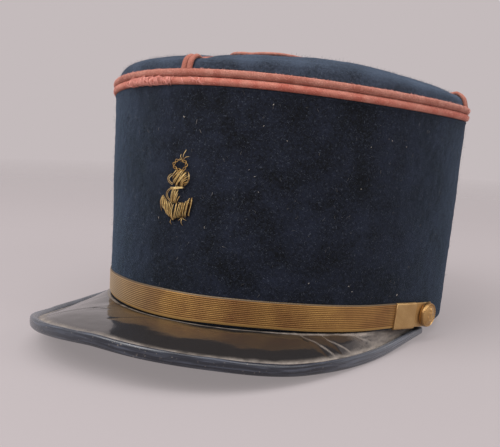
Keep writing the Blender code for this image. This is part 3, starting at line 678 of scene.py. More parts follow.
def threads(paths, girth, aside, sides=6, taper=8.0):
    """Tubes round many paths (..., stations, 3) at once: rings of one girth, closed to a point at each end.

    aside is a direction that no path runs along. girth is one number, or one for each path.
    """
    ahead = np.gradient(paths, axis=-2)
    ahead /= np.linalg.norm(ahead, axis=-1, keepdims=True)
    beside = np.cross(ahead, aside)
    beside /= np.linalg.norm(beside, axis=-1, keepdims=True)
    above = np.cross(beside, ahead)
    turn = np.linspace(0.0, 2 * np.pi, sides, endpoint=False)[:, None]
    share = np.linspace(-1.0, 1.0, paths.shape[-2])
    swell = (np.asarray(girth)[..., None] * np.sqrt(1.0 - np.abs(share) ** taper))[..., None, None]
    around = np.cos(turn) * above[..., None, :] + np.sin(turn) * beside[..., None, :]
    return paths[..., None, :] + swell * around


def drawn_through(corners, share):
    """The cubic curve that starts at the first corner, is drawn to the next two and ends at the last."""
    first, second, third, last = np.moveaxis(corners, -2, 0)[:, ..., None, :]
    left = 1.0 - share
    return first * left**3 + 3 * second * left**2 * share + 3 * third * left * share**2 + last * share**3


def on_badge(across, up, rise):
    """A point of the wall, by millimetres across and up from the anchor's foot, and its rise off the felt."""
    height = ANCHOR_FOOT + up * MILLIMETRE
    half_width = WALL_WIDTH / 2 + SIDE_FLARE * height / WALL_HEIGHT
    return on_stand(wall_point(np.arcsin(across * MILLIMETRE / half_width), height, rise * MILLIMETRE))


share = np.linspace(0.0, 1.0, STRAND_STATIONS)
strands = []
lit_and_shaded = []
for row in ANCHOR_STITCHES:
    count, rise, bow = row[0], row[14], row[15]
    lit_and_shaded.append(row[1] + BRIGHT_STRAY * chance.random(count))
    which = np.linspace(0.0, 2.0, count) + chance.normal(0.0, STRAND_SPACING_STRAY, count)
    start, end = (
        np.stack([np.interp(which, range(3), row[first + axis : first + 6 : 2]) for axis in (0, 1)], axis=-1)
        for first in (2, 8)
    )
    start, end = (line[:, None] + chance.normal(0.0, STRAND_END_STRAY, (count, 1, 2)) for line in (start, end))
    flat = start + (end - start) * share[:, None]
    sideways = (end - start)[..., ::-1] * (1.0, -1.0)
    sideways /= np.linalg.norm(sideways, axis=-1, keepdims=True)
    arc = np.sin(np.pi * share)
    flat += sideways * (bow + chance.normal(0.0, STRAND_BOW_STRAY, (count, 1, 1))) * arc[:, None]
    lift = STRAND_LIFT + (rise + chance.normal(0.0, STRAND_RISE_STRAY, (count, 1))) * arc**0.55
    strands.append(on_badge(flat[..., 0], flat[..., 1], lift))
loose = drawn_through(np.array(ANCHOR_LOOSE).reshape(-1, 4, 2), share[:, None])
lift = LOOSE_LIFT[0] + LOOSE_LIFT[1] * np.sin(np.pi * share)
strands.append(on_badge(loose[..., 0], loose[..., 1], lift))
paths = np.concatenate(strands)
lit_and_shaded.append(LOOSE_PAINTED_LIT + BRIGHT_STRAY * chance.random(len(ANCHOR_LOOSE)))
outward = np.array((0.07, -1.0, 0.11))
girths = np.full(len(paths), PURL)
girths[-len(ANCHOR_LOOSE) :] = LOOSE_PURL
stitches = threads(paths, girths, outward)
shade = np.concatenate(lit_and_shaded)[:, None, None]

turn = np.linspace(0.0, 2 * np.pi, 90)
wind = np.array(ANCHOR_RING_STARTS)[:, None] + ANCHOR_RING_TURNS * turn
middle_across, middle_up, half_across, half_up = ANCHOR_RING
ring = on_badge(
    middle_across + (half_across + ANCHOR_RING_WIND * np.cos(wind)) * np.sin(turn),
    middle_up + (half_up + ANCHOR_RING_WIND * np.cos(wind)) * np.cos(turn),
    RING_LIFT[0] + RING_LIFT[1] * np.sin(wind),
)
ring_mesh = skin("anchor_ring", threads(ring, PURL, outward), False, True, None, {"shade": LOOSE_PAINTED_LIT})
stitch_mesh = skin("anchor_stitches", stitches, False, True, None, {"shade": shade})

# Gold purl: gilt wire wound in a fine coil. The eye gets a broken glitter, brown tarnish that differs from
# strand
# to strand, and painted light and shade: the low padding strands darker, the raised and loose ones lighter. A
# fine noise stands for the coil's turns.
PURL_SPOT = 0.00111
PURL_COIL = 0.000238
PURL_TONES = (
    # place on the ramp, colour
    (0.38, "38220C"),
    (0.64, "A67C38"),
    (0.92, "ECCF90"),
)
purl, tree, surface = new_material("gold purl", Metallic=0.65, Roughness=0.36)
place = add_node(tree, "TexCoord").outputs["Object"]
strand = add_node(tree, "Attribute", attribute_name="shade")
spot = add_node(tree, "TexNoise", {"Vector": place, "Scale": 1 / PURL_SPOT, "Detail": 3.0})
tone = add_node(tree, "Math", {0: strand.outputs["Fac"], 1: spot.outputs[0]}, operation="ADD")
spread = add_node(tree, "MapRange", {"Value": tone.outputs[0], "From Max": 1.6})
ramp = add_node(tree, "ValToRGB", {"Fac": spread.outputs[0]})
for position, code in PURL_TONES:
    stop = ramp.color_ramp.elements.new(position)
    stop.color = hex_color(code)
ramp.color_ramp.elements.remove(ramp.color_ramp.elements[0])
ramp.color_ramp.elements.remove(ramp.color_ramp.elements[-1])
tree.links.new(ramp.outputs[0], surface.inputs["Base Color"])
coil = add_node(tree, "TexNoise", {"Vector": place, "Scale": 1 / PURL_COIL, "Detail": 1.0})
bump = add_node(tree, "Bump", {"Height": coil.outputs[0], "Strength": 0.8, "Distance": 0.0002})
tree.links.new(bump.outputs[0], surface.inputs["Normal"])

stitched = show("anchor_stitches", stitch_mesh, purl)
ringed = show("anchor_ring", ring_mesh, purl)
for thing in (stitched, ringed):
    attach(thing, "root")
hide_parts("anchor_badge")

# The chin strap: gold lace with thirteen woven ribs between two flat edges, tacked flat to the wall. It's
# 0.6 mm thick, and past the slides it is pressed smooth.
STRAP_LIFT = 0.0005
STRAP_HEIGHT = 0.0122
STRAP_END = np.radians(88.0)
STRAP_LACE = 0.0004
STRAP_STATIONS = 700
STRAP_RIBS = 13
STRAP_RIB_ROWS = 5
STRAP_BACK_STEP = 12  # the back has one row for so many of the front's
STRAP_ROUNDNESS = 16  # 2 is a half round across the strap, and more is flatter
STRAP_RIB_RELIEF = 0.00016
STRAP_EDGE = 0.055  # share of the height at the bottom and at the top that is a plain edge
STRAP_SAG = 0.00022
STRAP_SAG_GRAIN = 0.02
STRAP_DROP = 0.0018  # how much lower its ends hang
STRAP_DROP_FROM = np.radians(64.0)
STRAP_SMOOTH = (np.radians(74.0), np.radians(77.0))
STRAP_CUT = 0.0024  # its ends' corners are cut over this length
STRAP_RADIUS = (WALL_LENGTH + WALL_WIDTH) / 4

rows = np.linspace(0.0, 1.0, STRAP_RIBS * STRAP_RIB_ROWS + 1)
ribs = np.clip((rows - STRAP_EDGE) / (1.0 - 2 * STRAP_EDGE), 0.0, 1.0)
ridge = np.sin(np.pi * STRAP_RIBS * ribs) ** 2
angle = np.linspace(-STRAP_END, STRAP_END, STRAP_STATIONS)
pressed = np.clip((np.abs(angle) - STRAP_SMOOTH[0]) / (STRAP_SMOOTH[1] - STRAP_SMOOTH[0]), 0.0, 1.0)
nip = STRAP_HEIGHT / 5 * np.clip(1.0 - (STRAP_END - np.abs(angle)) * STRAP_RADIUS / STRAP_CUT, 0.0, 1.0)
sag = STRAP_SAG * lumps((2, STRAP_STATIONS), (1.0, 0.0004), STRAP_SAG_GRAIN, 5)
back_rows = rows[::-STRAP_BACK_STEP]


def strap_drop(angle):
    """How much lower the strap hangs at an angle round the wall: more and more towards its ends."""
    past = np.clip((np.abs(angle) - STRAP_DROP_FROM) / (STRAP_END - STRAP_DROP_FROM), 0.0, 1.0)
    return STRAP_DROP * past**1.3


low = STRAP_LIFT + nip + sag[0] - strap_drop(angle)
high = STRAP_LIFT + STRAP_HEIGHT - nip + sag[1] - strap_drop(angle)
bulge = np.sqrt(1.0 - np.abs(2 * rows - 1) ** STRAP_ROUNDNESS)[:, None]
outer = GAP / 3 + STRAP_LACE * bulge + STRAP_RIB_RELIEF * ridge[:, None] * (1.0 - pressed)
height = low + (high - low) * np.concatenate([rows, back_rows])[:, None]
outset = np.concatenate([outer, np.full((len(back_rows), STRAP_STATIONS), GAP / 3)])
strap = wall_point(angle, height, outset)
strap[:, [0, -1]] = strap[:, [0, -1]].mean(axis=0)
across = np.append(height[:, 0], height[0, 0])
rib = np.concatenate([ridge, np.zeros(len(back_rows))])[:, None]
rise = np.concatenate([rows, back_rows])[:, None]
marks = {"rib": rib, "rise": rise, "pressed": pressed}
strap_mesh = skin("lace_strap", on_stand(strap), True, False, (across, angle * STRAP_RADIUS), marks)

# Gold lace: gilt thread woven over cords. The eye gets fine bright lines, a zigzag in each rib, brown tarnish,
# painted shade in the grooves between the ribs, and painted light that makes it paler on the wearer's right.
LACE_GOLD = hex_color("AE8448")
LACE_TARNISH_AND_SHADE = hex_color("74492A")
LACE_GROOVE_SHADE = hex_color("3E2612")
LACE_PAINTED_LIGHT = hex_color("BEA680")
LACE_TOP_EDGE = hex_color("6A5A46")
LACE_LOW_EDGE = hex_color("BC965A")
LACE_PRESSED = hex_color("B8945E")
LACE_ZIGZAG = 0.0007  # one chevron
LACE_BLOTCH = 0.0182
lace, tree, surface = new_material("tarnished gold lace", Metallic=0.6, Roughness=0.46)
place = add_node(tree, "TexCoord").outputs["Object"]
lay = add_node(tree, "UVMap", uv_map="lay").outputs[0]
parts = add_node(tree, "SeparateXYZ", {0: lay})
ribbed = add_node(tree, "Attribute", attribute_name="rib")
rising = add_node(tree, "Attribute", attribute_name="rise")
stain = {"Vector": place, "Scale": 1 / LACE_BLOTCH, "Detail": 5.0, "Roughness": 0.6}
blotch = add_node(tree, "TexNoise", stain)
tarnish = add_node(tree, "MapRange", {"Value": blotch.outputs[0], "From Min": 0.34, "From Max": 0.74})
base = add_node(tree, "Mix", {0: tarnish.outputs[0], 6: LACE_GOLD, 7: LACE_TARNISH_AND_SHADE}, data_type="RGBA")
# Painted light: the lace is painted paler towards the wearer's right, the side the front lamp lights.
side = add_node(tree, "SeparateXYZ", {0: place}).outputs[0]
worn = add_node(tree, "MapRange", {"Value": side, "From Min": 0.0, "From Max": -0.05, "To Max": 0.85})
lit_side = add_node(tree, "Mix", {0: worn.outputs[0], 6: base.outputs[2], 7: LACE_PAINTED_LIGHT}, data_type="RGBA")
# Painted shade: the grooves between the ribs, and the back, are painted dark brown.
groove_shade = add_node(tree, "MapRange", {"Value": ribbed.outputs["Fac"], "From Max": 0.60, "To Min": 0.2})
lined = add_node(tree, "Mix", {0: groove_shade.outputs[0], 6: LACE_GROOVE_SHADE, 7: lit_side.outputs[2]}, data_type="RGBA")
top_edge = add_node(tree, "MapRange", {"Value": rising.outputs["Fac"], "From Min": 0.94, "From Max": 0.955})
tones = {0: top_edge.outputs[0], 6: lined.outputs[2], 7: LACE_TOP_EDGE}
edged = add_node(tree, "Mix", tones, data_type="RGBA")
low_edge = add_node(tree, "MapRange", {"Value": rising.outputs["Fac"], "From Min": 0.10, "From Max": 0.08})
tones = {0: low_edge.outputs[0], 6: edged.outputs[2], 7: LACE_LOW_EDGE}
finished = add_node(tree, "Mix", tones, data_type="RGBA")
smooth = add_node(tree, "Attribute", attribute_name="pressed")
tones = {0: smooth.outputs["Fac"], 6: finished.outputs[2], 7: LACE_PRESSED}
color = add_node(tree, "Mix", tones, data_type="RGBA")
tree.links.new(color.outputs[2], surface.inputs["Base Color"])
slope = add_node(tree, "Math", {0: parts.outputs[1], 1: STRAP_HEIGHT / STRAP_RIBS}, operation="PINGPONG")
lean = add_node(tree, "Math", {0: parts.outputs[0], 1: slope.outputs[0]}, operation="ADD")
chevron = add_node(tree, "Math", {0: lean.outputs[0], 1: LACE_ZIGZAG / 2}, operation="PINGPONG")
thread = add_node(tree, "MapRange", {"Value": chevron.outputs[0], "From Max": LACE_ZIGZAG / 2})
bump = add_node(tree, "Bump", {"Height": thread.outputs[0], "Strength": 0.22, "Distance": 0.0002})
tree.links.new(bump.outputs[0], surface.inputs["Normal"])

strap = show("lace_strap", strap_mesh, lace)
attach(strap, "root")
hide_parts("chin_strap")

# The two slides: short sleeves of the same lace round the strap, with their ribs up and down. Their ends are
# cut a little aslant.
SLIDE_ANGLE = np.radians(72.4)
SLIDE_LENGTH = 0.0146
SLIDE_WRAP = 0.0004
SLIDE_SLANT = 0.0008
SLIDE_RIB = 0.0008
SLIDE_RIB_RELIEF = 0.00016
SLIDE_GOLD = hex_color("D8B67E")
SLIDE_BROWN = hex_color("AE8A54")
SLIDE_BLOTCH = 0.00625
SLIDE_THREAD = 0.000333
SLIDE_STATIONS = 100

slide_lace, tree, surface = new_material("tarnished gold lace, upright", Metallic=0.6, Roughness=0.42)
place = add_node(tree, "TexCoord").outputs["Object"]
ribbed = add_node(tree, "Attribute", attribute_name="rib")
blotch = add_node(tree, "TexNoise", {"Vector": place, "Scale": 1 / SLIDE_BLOTCH, "Detail": 4.0})
base = add_node(tree, "Mix", {0: blotch.outputs[0], 6: SLIDE_GOLD, 7: SLIDE_BROWN}, data_type="RGBA")
# Painted shade: the grooves between the slide's ribs are painted brown.
groove_shade = add_node(tree, "MapRange", {"Value": ribbed.outputs["Fac"], "From Max": 0.7, "To Min": 0.35})
lined = add_node(tree, "Mix", {0: groove_shade.outputs[0], 6: LACE_TARNISH_AND_SHADE, 7: base.outputs[2]}, data_type="RGBA")
tree.links.new(lined.outputs[2], surface.inputs["Base Color"])
fine = add_node(tree, "TexNoise", {"Vector": place, "Scale": 1 / SLIDE_THREAD, "Detail": 2.0})
bump = add_node(tree, "Bump", {"Height": fine.outputs[0], "Strength": 0.4, "Distance": 0.0002})
tree.links.new(bump.outputs[0], surface.inputs["Normal"])

SLIDE_SECTION = (
    # height, outset, steps to the next
    (STRAP_LIFT - SLIDE_WRAP, GAP / 3, 2),
    (STRAP_LIFT - SLIDE_WRAP, STRAP_LACE + GAP, 2),
    (STRAP_LIFT, STRAP_LACE + STRAP_RIB_RELIEF + GAP + SLIDE_WRAP, 16),
    (STRAP_LIFT + STRAP_HEIGHT, STRAP_LACE + STRAP_RIB_RELIEF + GAP + SLIDE_WRAP, 2),
    (STRAP_LIFT + STRAP_HEIGHT + SLIDE_WRAP, STRAP_LACE + GAP, 2),
    (STRAP_LIFT + STRAP_HEIGHT + SLIDE_WRAP, GAP / 3, 8),
    (STRAP_LIFT - SLIDE_WRAP, GAP / 3, 0),
)
height, outset = through(SLIDE_SECTION)[:-1].T[:, :, None]
share = np.linspace(-0.5, 0.5, SLIDE_STATIONS)
ridge = np.sin(np.pi * (share + 0.5) * SLIDE_LENGTH / SLIDE_RIB) ** 2
plate = np.clip((outset - STRAP_LACE - GAP) / SLIDE_WRAP, 0.0, 1.0)
for word, side in (("left", 1), ("right", -1)):
    slant = SLIDE_SLANT * (0.5 - (height - STRAP_LIFT) / STRAP_HEIGHT) * (0.5 - share)
    angle = side * SLIDE_ANGLE + (side * (share * SLIDE_LENGTH - slant)) / STRAP_RADIUS
    sleeve = wall_point(angle, height - strap_drop(angle), outset + SLIDE_RIB_RELIEF * ridge * plate)
    sleeve[:, [0, -1]] = sleeve[:, [0, -1]].mean(axis=0)
    mesh = skin(f"lace_slide_{word}", on_stand(sleeve[:, ::side]), True, False, None, {"rib": ridge[::side]})
    sleeve = show(f"lace_slide_{word}", mesh, slide_lace)
    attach(sleeve, "root")
    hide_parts(f"strap_slide_{word}")

# The two buttons: stamped brass domes with a rope border and a small anchor, each on a shank through the
# strap and the wall.
BUTTON_ANGLE = np.radians(82.4)
BUTTON_HEIGHT = 0.0056
BUTTON_RADIUS = 0.0060
BUTTON_DEPTH = 0.0036
BUTTON_TURN = np.radians(4.0)  # the buttons hang a little towards the front
BUTTON_SEAT = STRAP_LACE + GAP + BUTTON_RADIUS * np.sin(BUTTON_TURN)
BUTTON_SECTORS = 120
BUTTON_RINGS = 52
SHANK_RADIUS = 0.0012
SHANK_LENGTH = WALL_FELT + 0.0040
BUTTON_PROFILE = (
    # radius, height: shares of the button's radius and depth
    (0.00, 0.96),
    (0.35, 0.93),
    (0.65, 0.80),
    (0.78, 0.70),
    (0.84, 0.66),
    (0.90, 0.72),
    (0.96, 0.60),
    (1.00, 0.34),
)
BUTTON_STROKES = (
    # from across, up, to across, up: shares of the button's radius
    (0.0, -0.42, 0.0, 0.34),
    (-0.24, 0.22, 0.24, 0.22),
    (-0.40, -0.10, -0.22, -0.36),
    (-0.22, -0.36, 0.0, -0.44),
    (0.0, -0.44, 0.22, -0.36),
    (0.22, -0.36, 0.40, -0.10),
    (-0.07, 0.42, 0.07, 0.42),
    (-0.07, 0.54, 0.07, 0.54),
    (-0.10, 0.44, -0.10, 0.52),
    (0.10, 0.44, 0.10, 0.52),
)
STROKE_WIDTH = 0.055
STROKE_RELIEF = 0.00030
ROPE_RELIEF = 0.00018
ROPE_TURNS = 34
ROPE_PLACE = 0.90  # share of the button's radius
ROPE_WIDTH = 0.05


def off_stroke(x, y, strokes):
    """The distance from points to the nearest of some strokes: each point is dropped square to each one."""
    x0, y0, x1, y1 = np.array(strokes).T[:, :, None, None]
    share = ((x - x0) * (x1 - x0) + (y - y0) * (y1 - y0)) / ((x1 - x0) ** 2 + (y1 - y0) ** 2)
    share = np.clip(share, 0.0, 1.0)
    return np.hypot(x - x0 - share * (x1 - x0), y - y0 - share * (y1 - y0)).min(axis=0)


# Stamped brass: polished by wear on what stands proud. The eye gets warm highlights and brown hollows.
BRASS_BRIGHT = hex_color("F0CE92")
BRASS_DULL = hex_color("C8924E")
BRASS_HOLLOW = hex_color("6E4A28")
BRASS_PATCH = 0.00238
brass, tree, surface = new_material("worn stamped brass", Metallic=0.9, Roughness=0.30)
place = add_node(tree, "TexCoord").outputs["Object"]
raised = add_node(tree, "Attribute", attribute_name="raised")
patch = add_node(tree, "TexNoise", {"Vector": place, "Scale": 1 / BRASS_PATCH, "Detail": 4.0})
metal = add_node(tree, "Mix", {0: patch.outputs[0], 6: BRASS_BRIGHT, 7: BRASS_DULL}, data_type="RGBA")
low_tone = add_node(tree, "MapRange", {"Value": raised.outputs["Fac"], "To Min": 0.25})
worn = add_node(tree, "Mix", {0: low_tone.outputs[0], 6: BRASS_HOLLOW, 7: metal.outputs[2]}, data_type="RGBA")
tree.links.new(worn.outputs[2], surface.inputs["Base Color"])
rough = add_node(tree, "MapRange", {"Value": patch.outputs[0], "To Min": 0.22, "To Max": 0.50})
tree.links.new(rough.outputs[0], surface.inputs["Roughness"])

turn = np.linspace(0.0, 2 * np.pi, BUTTON_SECTORS, endpoint=False)
radius = np.linspace(0.0, 1.0, BUTTON_RINGS)[:, None]
face = BUTTON_DEPTH * smooth_table(BUTTON_PROFILE, radius)
border = np.exp(-(((radius - ROPE_PLACE) / ROPE_WIDTH) ** 2))
rope = border * np.abs(np.sin(ROPE_TURNS / 2 * turn + 8 * radius))
off = off_stroke(radius * np.sin(turn), radius * np.cos(turn), BUTTON_STROKES)
stroke = np.exp(-((off / STROKE_WIDTH) ** 2))
face = face + ROPE_RELIEF * rope + STROKE_RELIEF * stroke
back = np.array(
    (
        (BUTTON_RADIUS * 0.98, BUTTON_DEPTH * 0.12),
        (BUTTON_RADIUS * 0.90, 0.0),
        (SHANK_RADIUS, 0.0),
        (SHANK_RADIUS, -SHANK_LENGTH),
        (0.0, -SHANK_LENGTH),
    )
)
reach = np.concatenate([radius * BUTTON_RADIUS + 0.0 * turn, np.tile(back[:, :1], BUTTON_SECTORS)])
height = np.concatenate([face, np.tile(back[:, 1:], BUTTON_SECTORS)])
proud = np.maximum(np.maximum(rope, stroke), (radius < 0.8) * 0.45)
raised = np.concatenate([proud, np.ones((len(back), BUTTON_SECTORS))])
for word, side in (("left", 1), ("right", -1)):
    seat = on_stand(wall_point(side * BUTTON_ANGLE, BUTTON_HEIGHT, BUTTON_SEAT))
    onward = on_stand(wall_point(side * BUTTON_ANGLE + 1e-4, BUTTON_HEIGHT, BUTTON_SEAT)) - seat
    upward = on_stand(wall_point(side * BUTTON_ANGLE, BUTTON_HEIGHT + 1e-5, BUTTON_SEAT)) - seat
    onward /= np.linalg.norm(onward)
    outward = np.cross(onward, upward)
    outward /= np.linalg.norm(outward)
    upward = np.cross(outward, onward)
    cos, sin = np.cos(side * BUTTON_TURN), np.sin(side * BUTTON_TURN)
    onward, outward = onward * cos + outward * sin, outward * cos - onward * sin
    disc = (reach * np.sin(turn))[..., None] * onward + (reach * np.cos(turn))[..., None] * upward
    stamped = seat + disc + height[..., None] * outward
    mesh = skin(f"brass_button_{word}", stamped[:, ::-1], False, True, None, {"raised": raised[:, ::-1]})
    button = show(f"brass_button_{word}", mesh, brass)
    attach(button, "root")
    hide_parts(f"button_{word}")

# The visor: one sheet of stiff leather with a lacquered, mirror-like black face, sewn flat under the wall. It
# bends down to its rim, and the lacquer is creased and cracked.
VISOR_REACH = 0.0528
VISOR_SET_IN = 0.00015
VISOR_BACK = 0.0282
VISOR_SQUARENESS = 2.63
VISOR_DROOP = 0.0111
VISOR_THICK = 0.0022
VISOR_MARGIN = 0.0075
VISOR_ARCH = 0.0015
VISOR_EDGE = (
    # degrees round the outline, share of the droop
    (0.0, 0.34),
    (25.0, 0.59),
    (50.0, 1.00),
    (70.0, 0.92),
    (80.0, 0.59),
    (90.0, 0.38),
)
VISOR_END = 83.0  # degrees round the outline
RIM_HEIGHT = 0.0056
RIM_END_HEIGHT = 0.0040
RIM_TAPER = 66.0  # the rim grows lower from here to its end, in degrees round the outline
RIM_DEPTH = 0.0040
RIM_WALL = 0.0014
VISOR_WIDTH = WALL_WIDTH - 2 * VISOR_SET_IN
VISOR_FRONT = WALL_LENGTH / 2 + VISOR_REACH
VISOR_STATIONS = 520
VISOR_ROWS = 76
VISOR_UNDER_ROWS = 20
VISOR_ROW_STEP = 0.0009  # about how far apart its rows lie
VISOR_FREE = (8, 10)  # how fast its waves grow from the wall and from the rim
VISOR_UNDER_DULL = 0.35
VISOR_WAVES = (
    # grain, relief, seed
    (0.030, 0.00012, 20),
    (0.011, 0.00006, 21),
    (0.0035, 0.000012, 22),
)
VISOR_CREASES = (
    # across, ahead, to across, ahead, depth, width: millimetres
    (46, 76, 58, 81, 0.20, 1.8),
    (58, 81, 74, 84, 0.34, 2.0),
    (57, 68, 66, 74, 0.20, 1.6),
    (66, 74, 78, 74, 0.34, 1.8),
    (68, 58, 80, 56, 0.32, 1.8),
    (-46, 136, -36, 112, 0.16, 1.3),
    (-36, 112, -30, 96, 0.14, 1.2),
    (-12, 126, -2, 108, 0.18, 1.6),
    (-36, 110, -28, 110, 0.30, 0.5),
    (14, 140, 40, 128, 0.10, 1.5),
)
VISOR_CRACK = (-0.036, -0.110, -0.028, -0.1105)
VISOR_CRACK_WIDTH = 0.0004
DUST_BY_RIM = 0.0031
DUST_BY_WALL = (0.0014, 0.0010, 0.9)  # how far ahead of the wall it lies, how wide and how thick
DUST_ENDS = (
    # metres back from the cap's middle where it begins, over how many it grows, and its share when full
    (-0.068, 0.014, 0.5),
    (-0.048, 0.010, 0.4),
)
DUST_GRAIN = 0.003
DUST_PATCHES = (0.80, 0.16)  # how thick it lies all over, and how much this varies
STREAK_SPREAD = 0.45
STREAK_STRENGTH = 0.85
VISOR_STREAKS = (
    # across, ahead, to across, ahead, width: millimetres, and how strong the streak is, as a share
    (50.0, 80.0, 58.3, 80.1, 0.6, 0.7),
    (58.3, 80.1, 64.4, 80.7, 0.7, 0.8),
    (64.4, 80.7, 72.0, 80.0, 1.0, 1.0),
    (58.0, 72.0, 64.2, 73.7, 0.7, 0.7),
    (64.2, 73.7, 68.7, 72.1, 0.8, 0.8),
    (68.7, 72.1, 74.5, 69.0, 1.0, 1.0),
    (69.0, 61.0, 73.9, 56.2, 1.0, 0.9),
    (73.9, 56.2, 77.0, 52.0, 1.0, 0.9),
    (76.0, 44.0, 80.0, 40.0, 1.2, 0.8),
)


def rim_path(stations):
    """The rim's outer lower edge from the wearer's right to the left, the way out from it, marks and height.

    In plan it's the oval whose shares of width and length, each to the power of the squareness, add up to 1.
    It ends where its height has no more room under the wall.
    """
    degrees = np.linspace(0.0, min(VISOR_END, 89.5), 359)
    turn = np.radians(degrees)
    across = VISOR_WIDTH / 2 * np.sin(turn) ** (2 / VISOR_SQUARENESS)
    along = VISOR_BACK - (VISOR_FRONT + VISOR_BACK) * np.cos(turn) ** (2 / VISOR_SQUARENESS)
    up = -VISOR_DROOP * smooth_table(VISOR_EDGE, degrees)
    tall = np.interp(degrees, (RIM_TAPER, VISOR_END), (RIM_HEIGHT, RIM_END_HEIGHT))
    apart = (1.0 + DIAGONAL_TRIM) / 2
    room = RIM_DEPTH + GAP
    outside = np.hypot(across / (WALL_WIDTH * apart + room), along / (WALL_LENGTH * apart + room)) >= 1.0
    blocked = np.append(~(outside | (up + tall <= -GAP)), True)
    half = np.stack([across, along, up, tall], axis=-1)[: np.argmax(blocked)]
    whole = np.vstack([half[:0:-1] * (-1.0, 1.0, 1.0, 1.0), half])
    marks = np.concatenate([[0.0], np.cumsum(np.linalg.norm(np.diff(whole[:, :3], axis=0), axis=1))])
    even = np.linspace(0.0, marks[-1], stations)
    path = np.stack([np.interp(even, marks, column) for column in whole.T], axis=-1)
    path, tall = path[:, :3], path[:, 3:]
    forward = np.gradient(path[:, :2], axis=0)
    forward /= np.linalg.norm(forward, axis=1, keepdims=True)
    return path, np.stack([forward[:, 1], -forward[:, 0], np.zeros(stations)], axis=-1), even, tall


path, outward, rim_marks, tall = rim_path(VISOR_STATIONS)
upright = np.array((0.0, 0.0, 1.0))
centre = path + upright * (tall + VISOR_THICK) / 2
edge = centre - outward * (RIM_WALL + GAP)
mouth = centre - outward * (RIM_DEPTH + 2 * GAP)
angle = np.arctan2(path[:, 0] / WALL_WIDTH, -path[:, 1] / WALL_LENGTH)
sewn = wall_point(angle, 0.0, -VISOR_MARGIN) - upright * GAP
width = np.linalg.norm((mouth - sewn)[:, :2], axis=1)
flat = np.minimum(0.6, (VISOR_MARGIN + GAP) / width)
share = np.linspace(0.0, 1.0, VISOR_ROWS)[:, None]
ahead = np.clip((share - flat) / (1.0 - flat), 0.0, 1.0)
top = sewn + (mouth - sewn) * share[..., None]
arch = VISOR_ARCH * np.minimum(1.0, width / VISOR_REACH)
top[..., 2] = sewn[:, 2] + (mouth - sewn)[:, 2] * ahead + arch * np.sin(np.pi * ahead)
steps = (VISOR_ROW_STEP, rim_marks[1])
relief = sum(size * lumps(ahead.shape, steps, grain, seed) for grain, size, seed in VISOR_WAVES)
for x0, y0, x1, y1, depth, spread in VISOR_CREASES:
    line = ((x0 * MILLIMETRE, -y0 * MILLIMETRE, x1 * MILLIMETRE, -y1 * MILLIMETRE),)
    apart = off_stroke(top[..., 0], top[..., 1], line) / (spread * MILLIMETRE)
    relief = relief - depth * MILLIMETRE * np.exp(-(apart**2))
free = np.clip(ahead * VISOR_FREE[0], 0.0, 1.0) * np.clip((1.0 - ahead) * VISOR_FREE[1], 0.0, 1.0)
top[..., 2] += relief * free
share = np.linspace(1.0, 0.0, VISOR_UNDER_ROWS)[:, None]
under = share[..., None] * (top[-1] - top[0]) + top[0]
ahead_under = np.clip((share - flat) / (1.0 - flat), 0.0, 1.0)
under[..., 2] = sewn[:, 2] + (mouth - sewn)[:, 2] * ahead_under
under[..., 2] += arch * np.sin(np.pi * ahead_under) - VISOR_THICK
sheet = np.concatenate([top, edge[None], (edge - upright * VISOR_THICK)[None], under])
sheet[:, [0, -1]] = sheet[:, [0, -1]].mean(axis=0)
near_rim = np.exp(-(((1.0 - ahead) * width / DUST_BY_RIM) ** 2))
near_wall = DUST_BY_WALL[2] * np.exp(-(((ahead * width - DUST_BY_WALL[0]) / DUST_BY_WALL[1]) ** 2))
near_end = sum(thick * np.clip((top[..., 1] - back) / growth, 0.0, 1.0) for back, growth, thick in DUST_ENDS)
# Pale streaks along the creases, added to the same mark as the dust.
streaks = 0.0
for x0, y0, x1, y1, spread, strength in VISOR_STREAKS:
    line = ((x0 * MILLIMETRE, -y0 * MILLIMETRE, x1 * MILLIMETRE, -y1 * MILLIMETRE),)
    apart = off_stroke(top[..., 0], top[..., 1], line) / (STREAK_SPREAD * spread * MILLIMETRE)
    streaks = np.maximum(streaks, STREAK_STRENGTH * strength * np.exp(-(apart**2)))
cracks = off_stroke(top[..., 0], top[..., 1], (VISOR_CRACK,))
crack = np.exp(-((cracks / VISOR_CRACK_WIDTH) ** 2))
patchy = (DUST_PATCHES[0] + DUST_PATCHES[1] * lumps(ahead.shape, steps, DUST_GRAIN, 31)).clip(0.0, 1.0)
settled = np.maximum((near_rim + near_wall + near_end).clip(0.0, 1.0) * patchy, streaks)
rest = np.zeros((len(sheet) - len(top), VISOR_STATIONS))
dust = np.concatenate([settled, rest])
dull = np.concatenate([crack, rest + VISOR_UNDER_DULL])
marks = {"dust": dust[::-1], "dull": dull[::-1]}
visor_mesh = skin("patent_visor", on_stand(sheet[::-1]), True, False, None, marks)

# Patent leather: black leather under glossy lacquer. The eye gets a mirror that picks up the wall, the lace
# and the backdrop, bent by creases, and pale dust along the rim and the wall.
LACQUER = hex_color("0C0C10")
DUST = hex_color("9C9288")
VISOR_FILM = 0.055  # the least that the film of dust covers
GRIT_GRAIN = 0.00111
HAZE_GRAIN = 0.0167
WRINKLE_GRAIN = 0.003125
patent, tree, surface = new_material("patent leather", Roughness=0.12, IOR=1.62)
place = add_node(tree, "TexCoord").outputs["Object"]
dusty = add_node(tree, "Attribute", attribute_name="dust")
dulled = add_node(tree, "Attribute", attribute_name="dull")
sand = {"Vector": place, "Scale": 1 / GRIT_GRAIN, "Detail": 4.0, "Roughness": 0.7}
grit = add_node(tree, "TexNoise", sand)
span = {"Value": grit.outputs[0], "From Min": 0.30, "From Max": 0.62, "To Min": 0.50, "To Max": 0.85}
grit_share = add_node(tree, "MapRange", span)
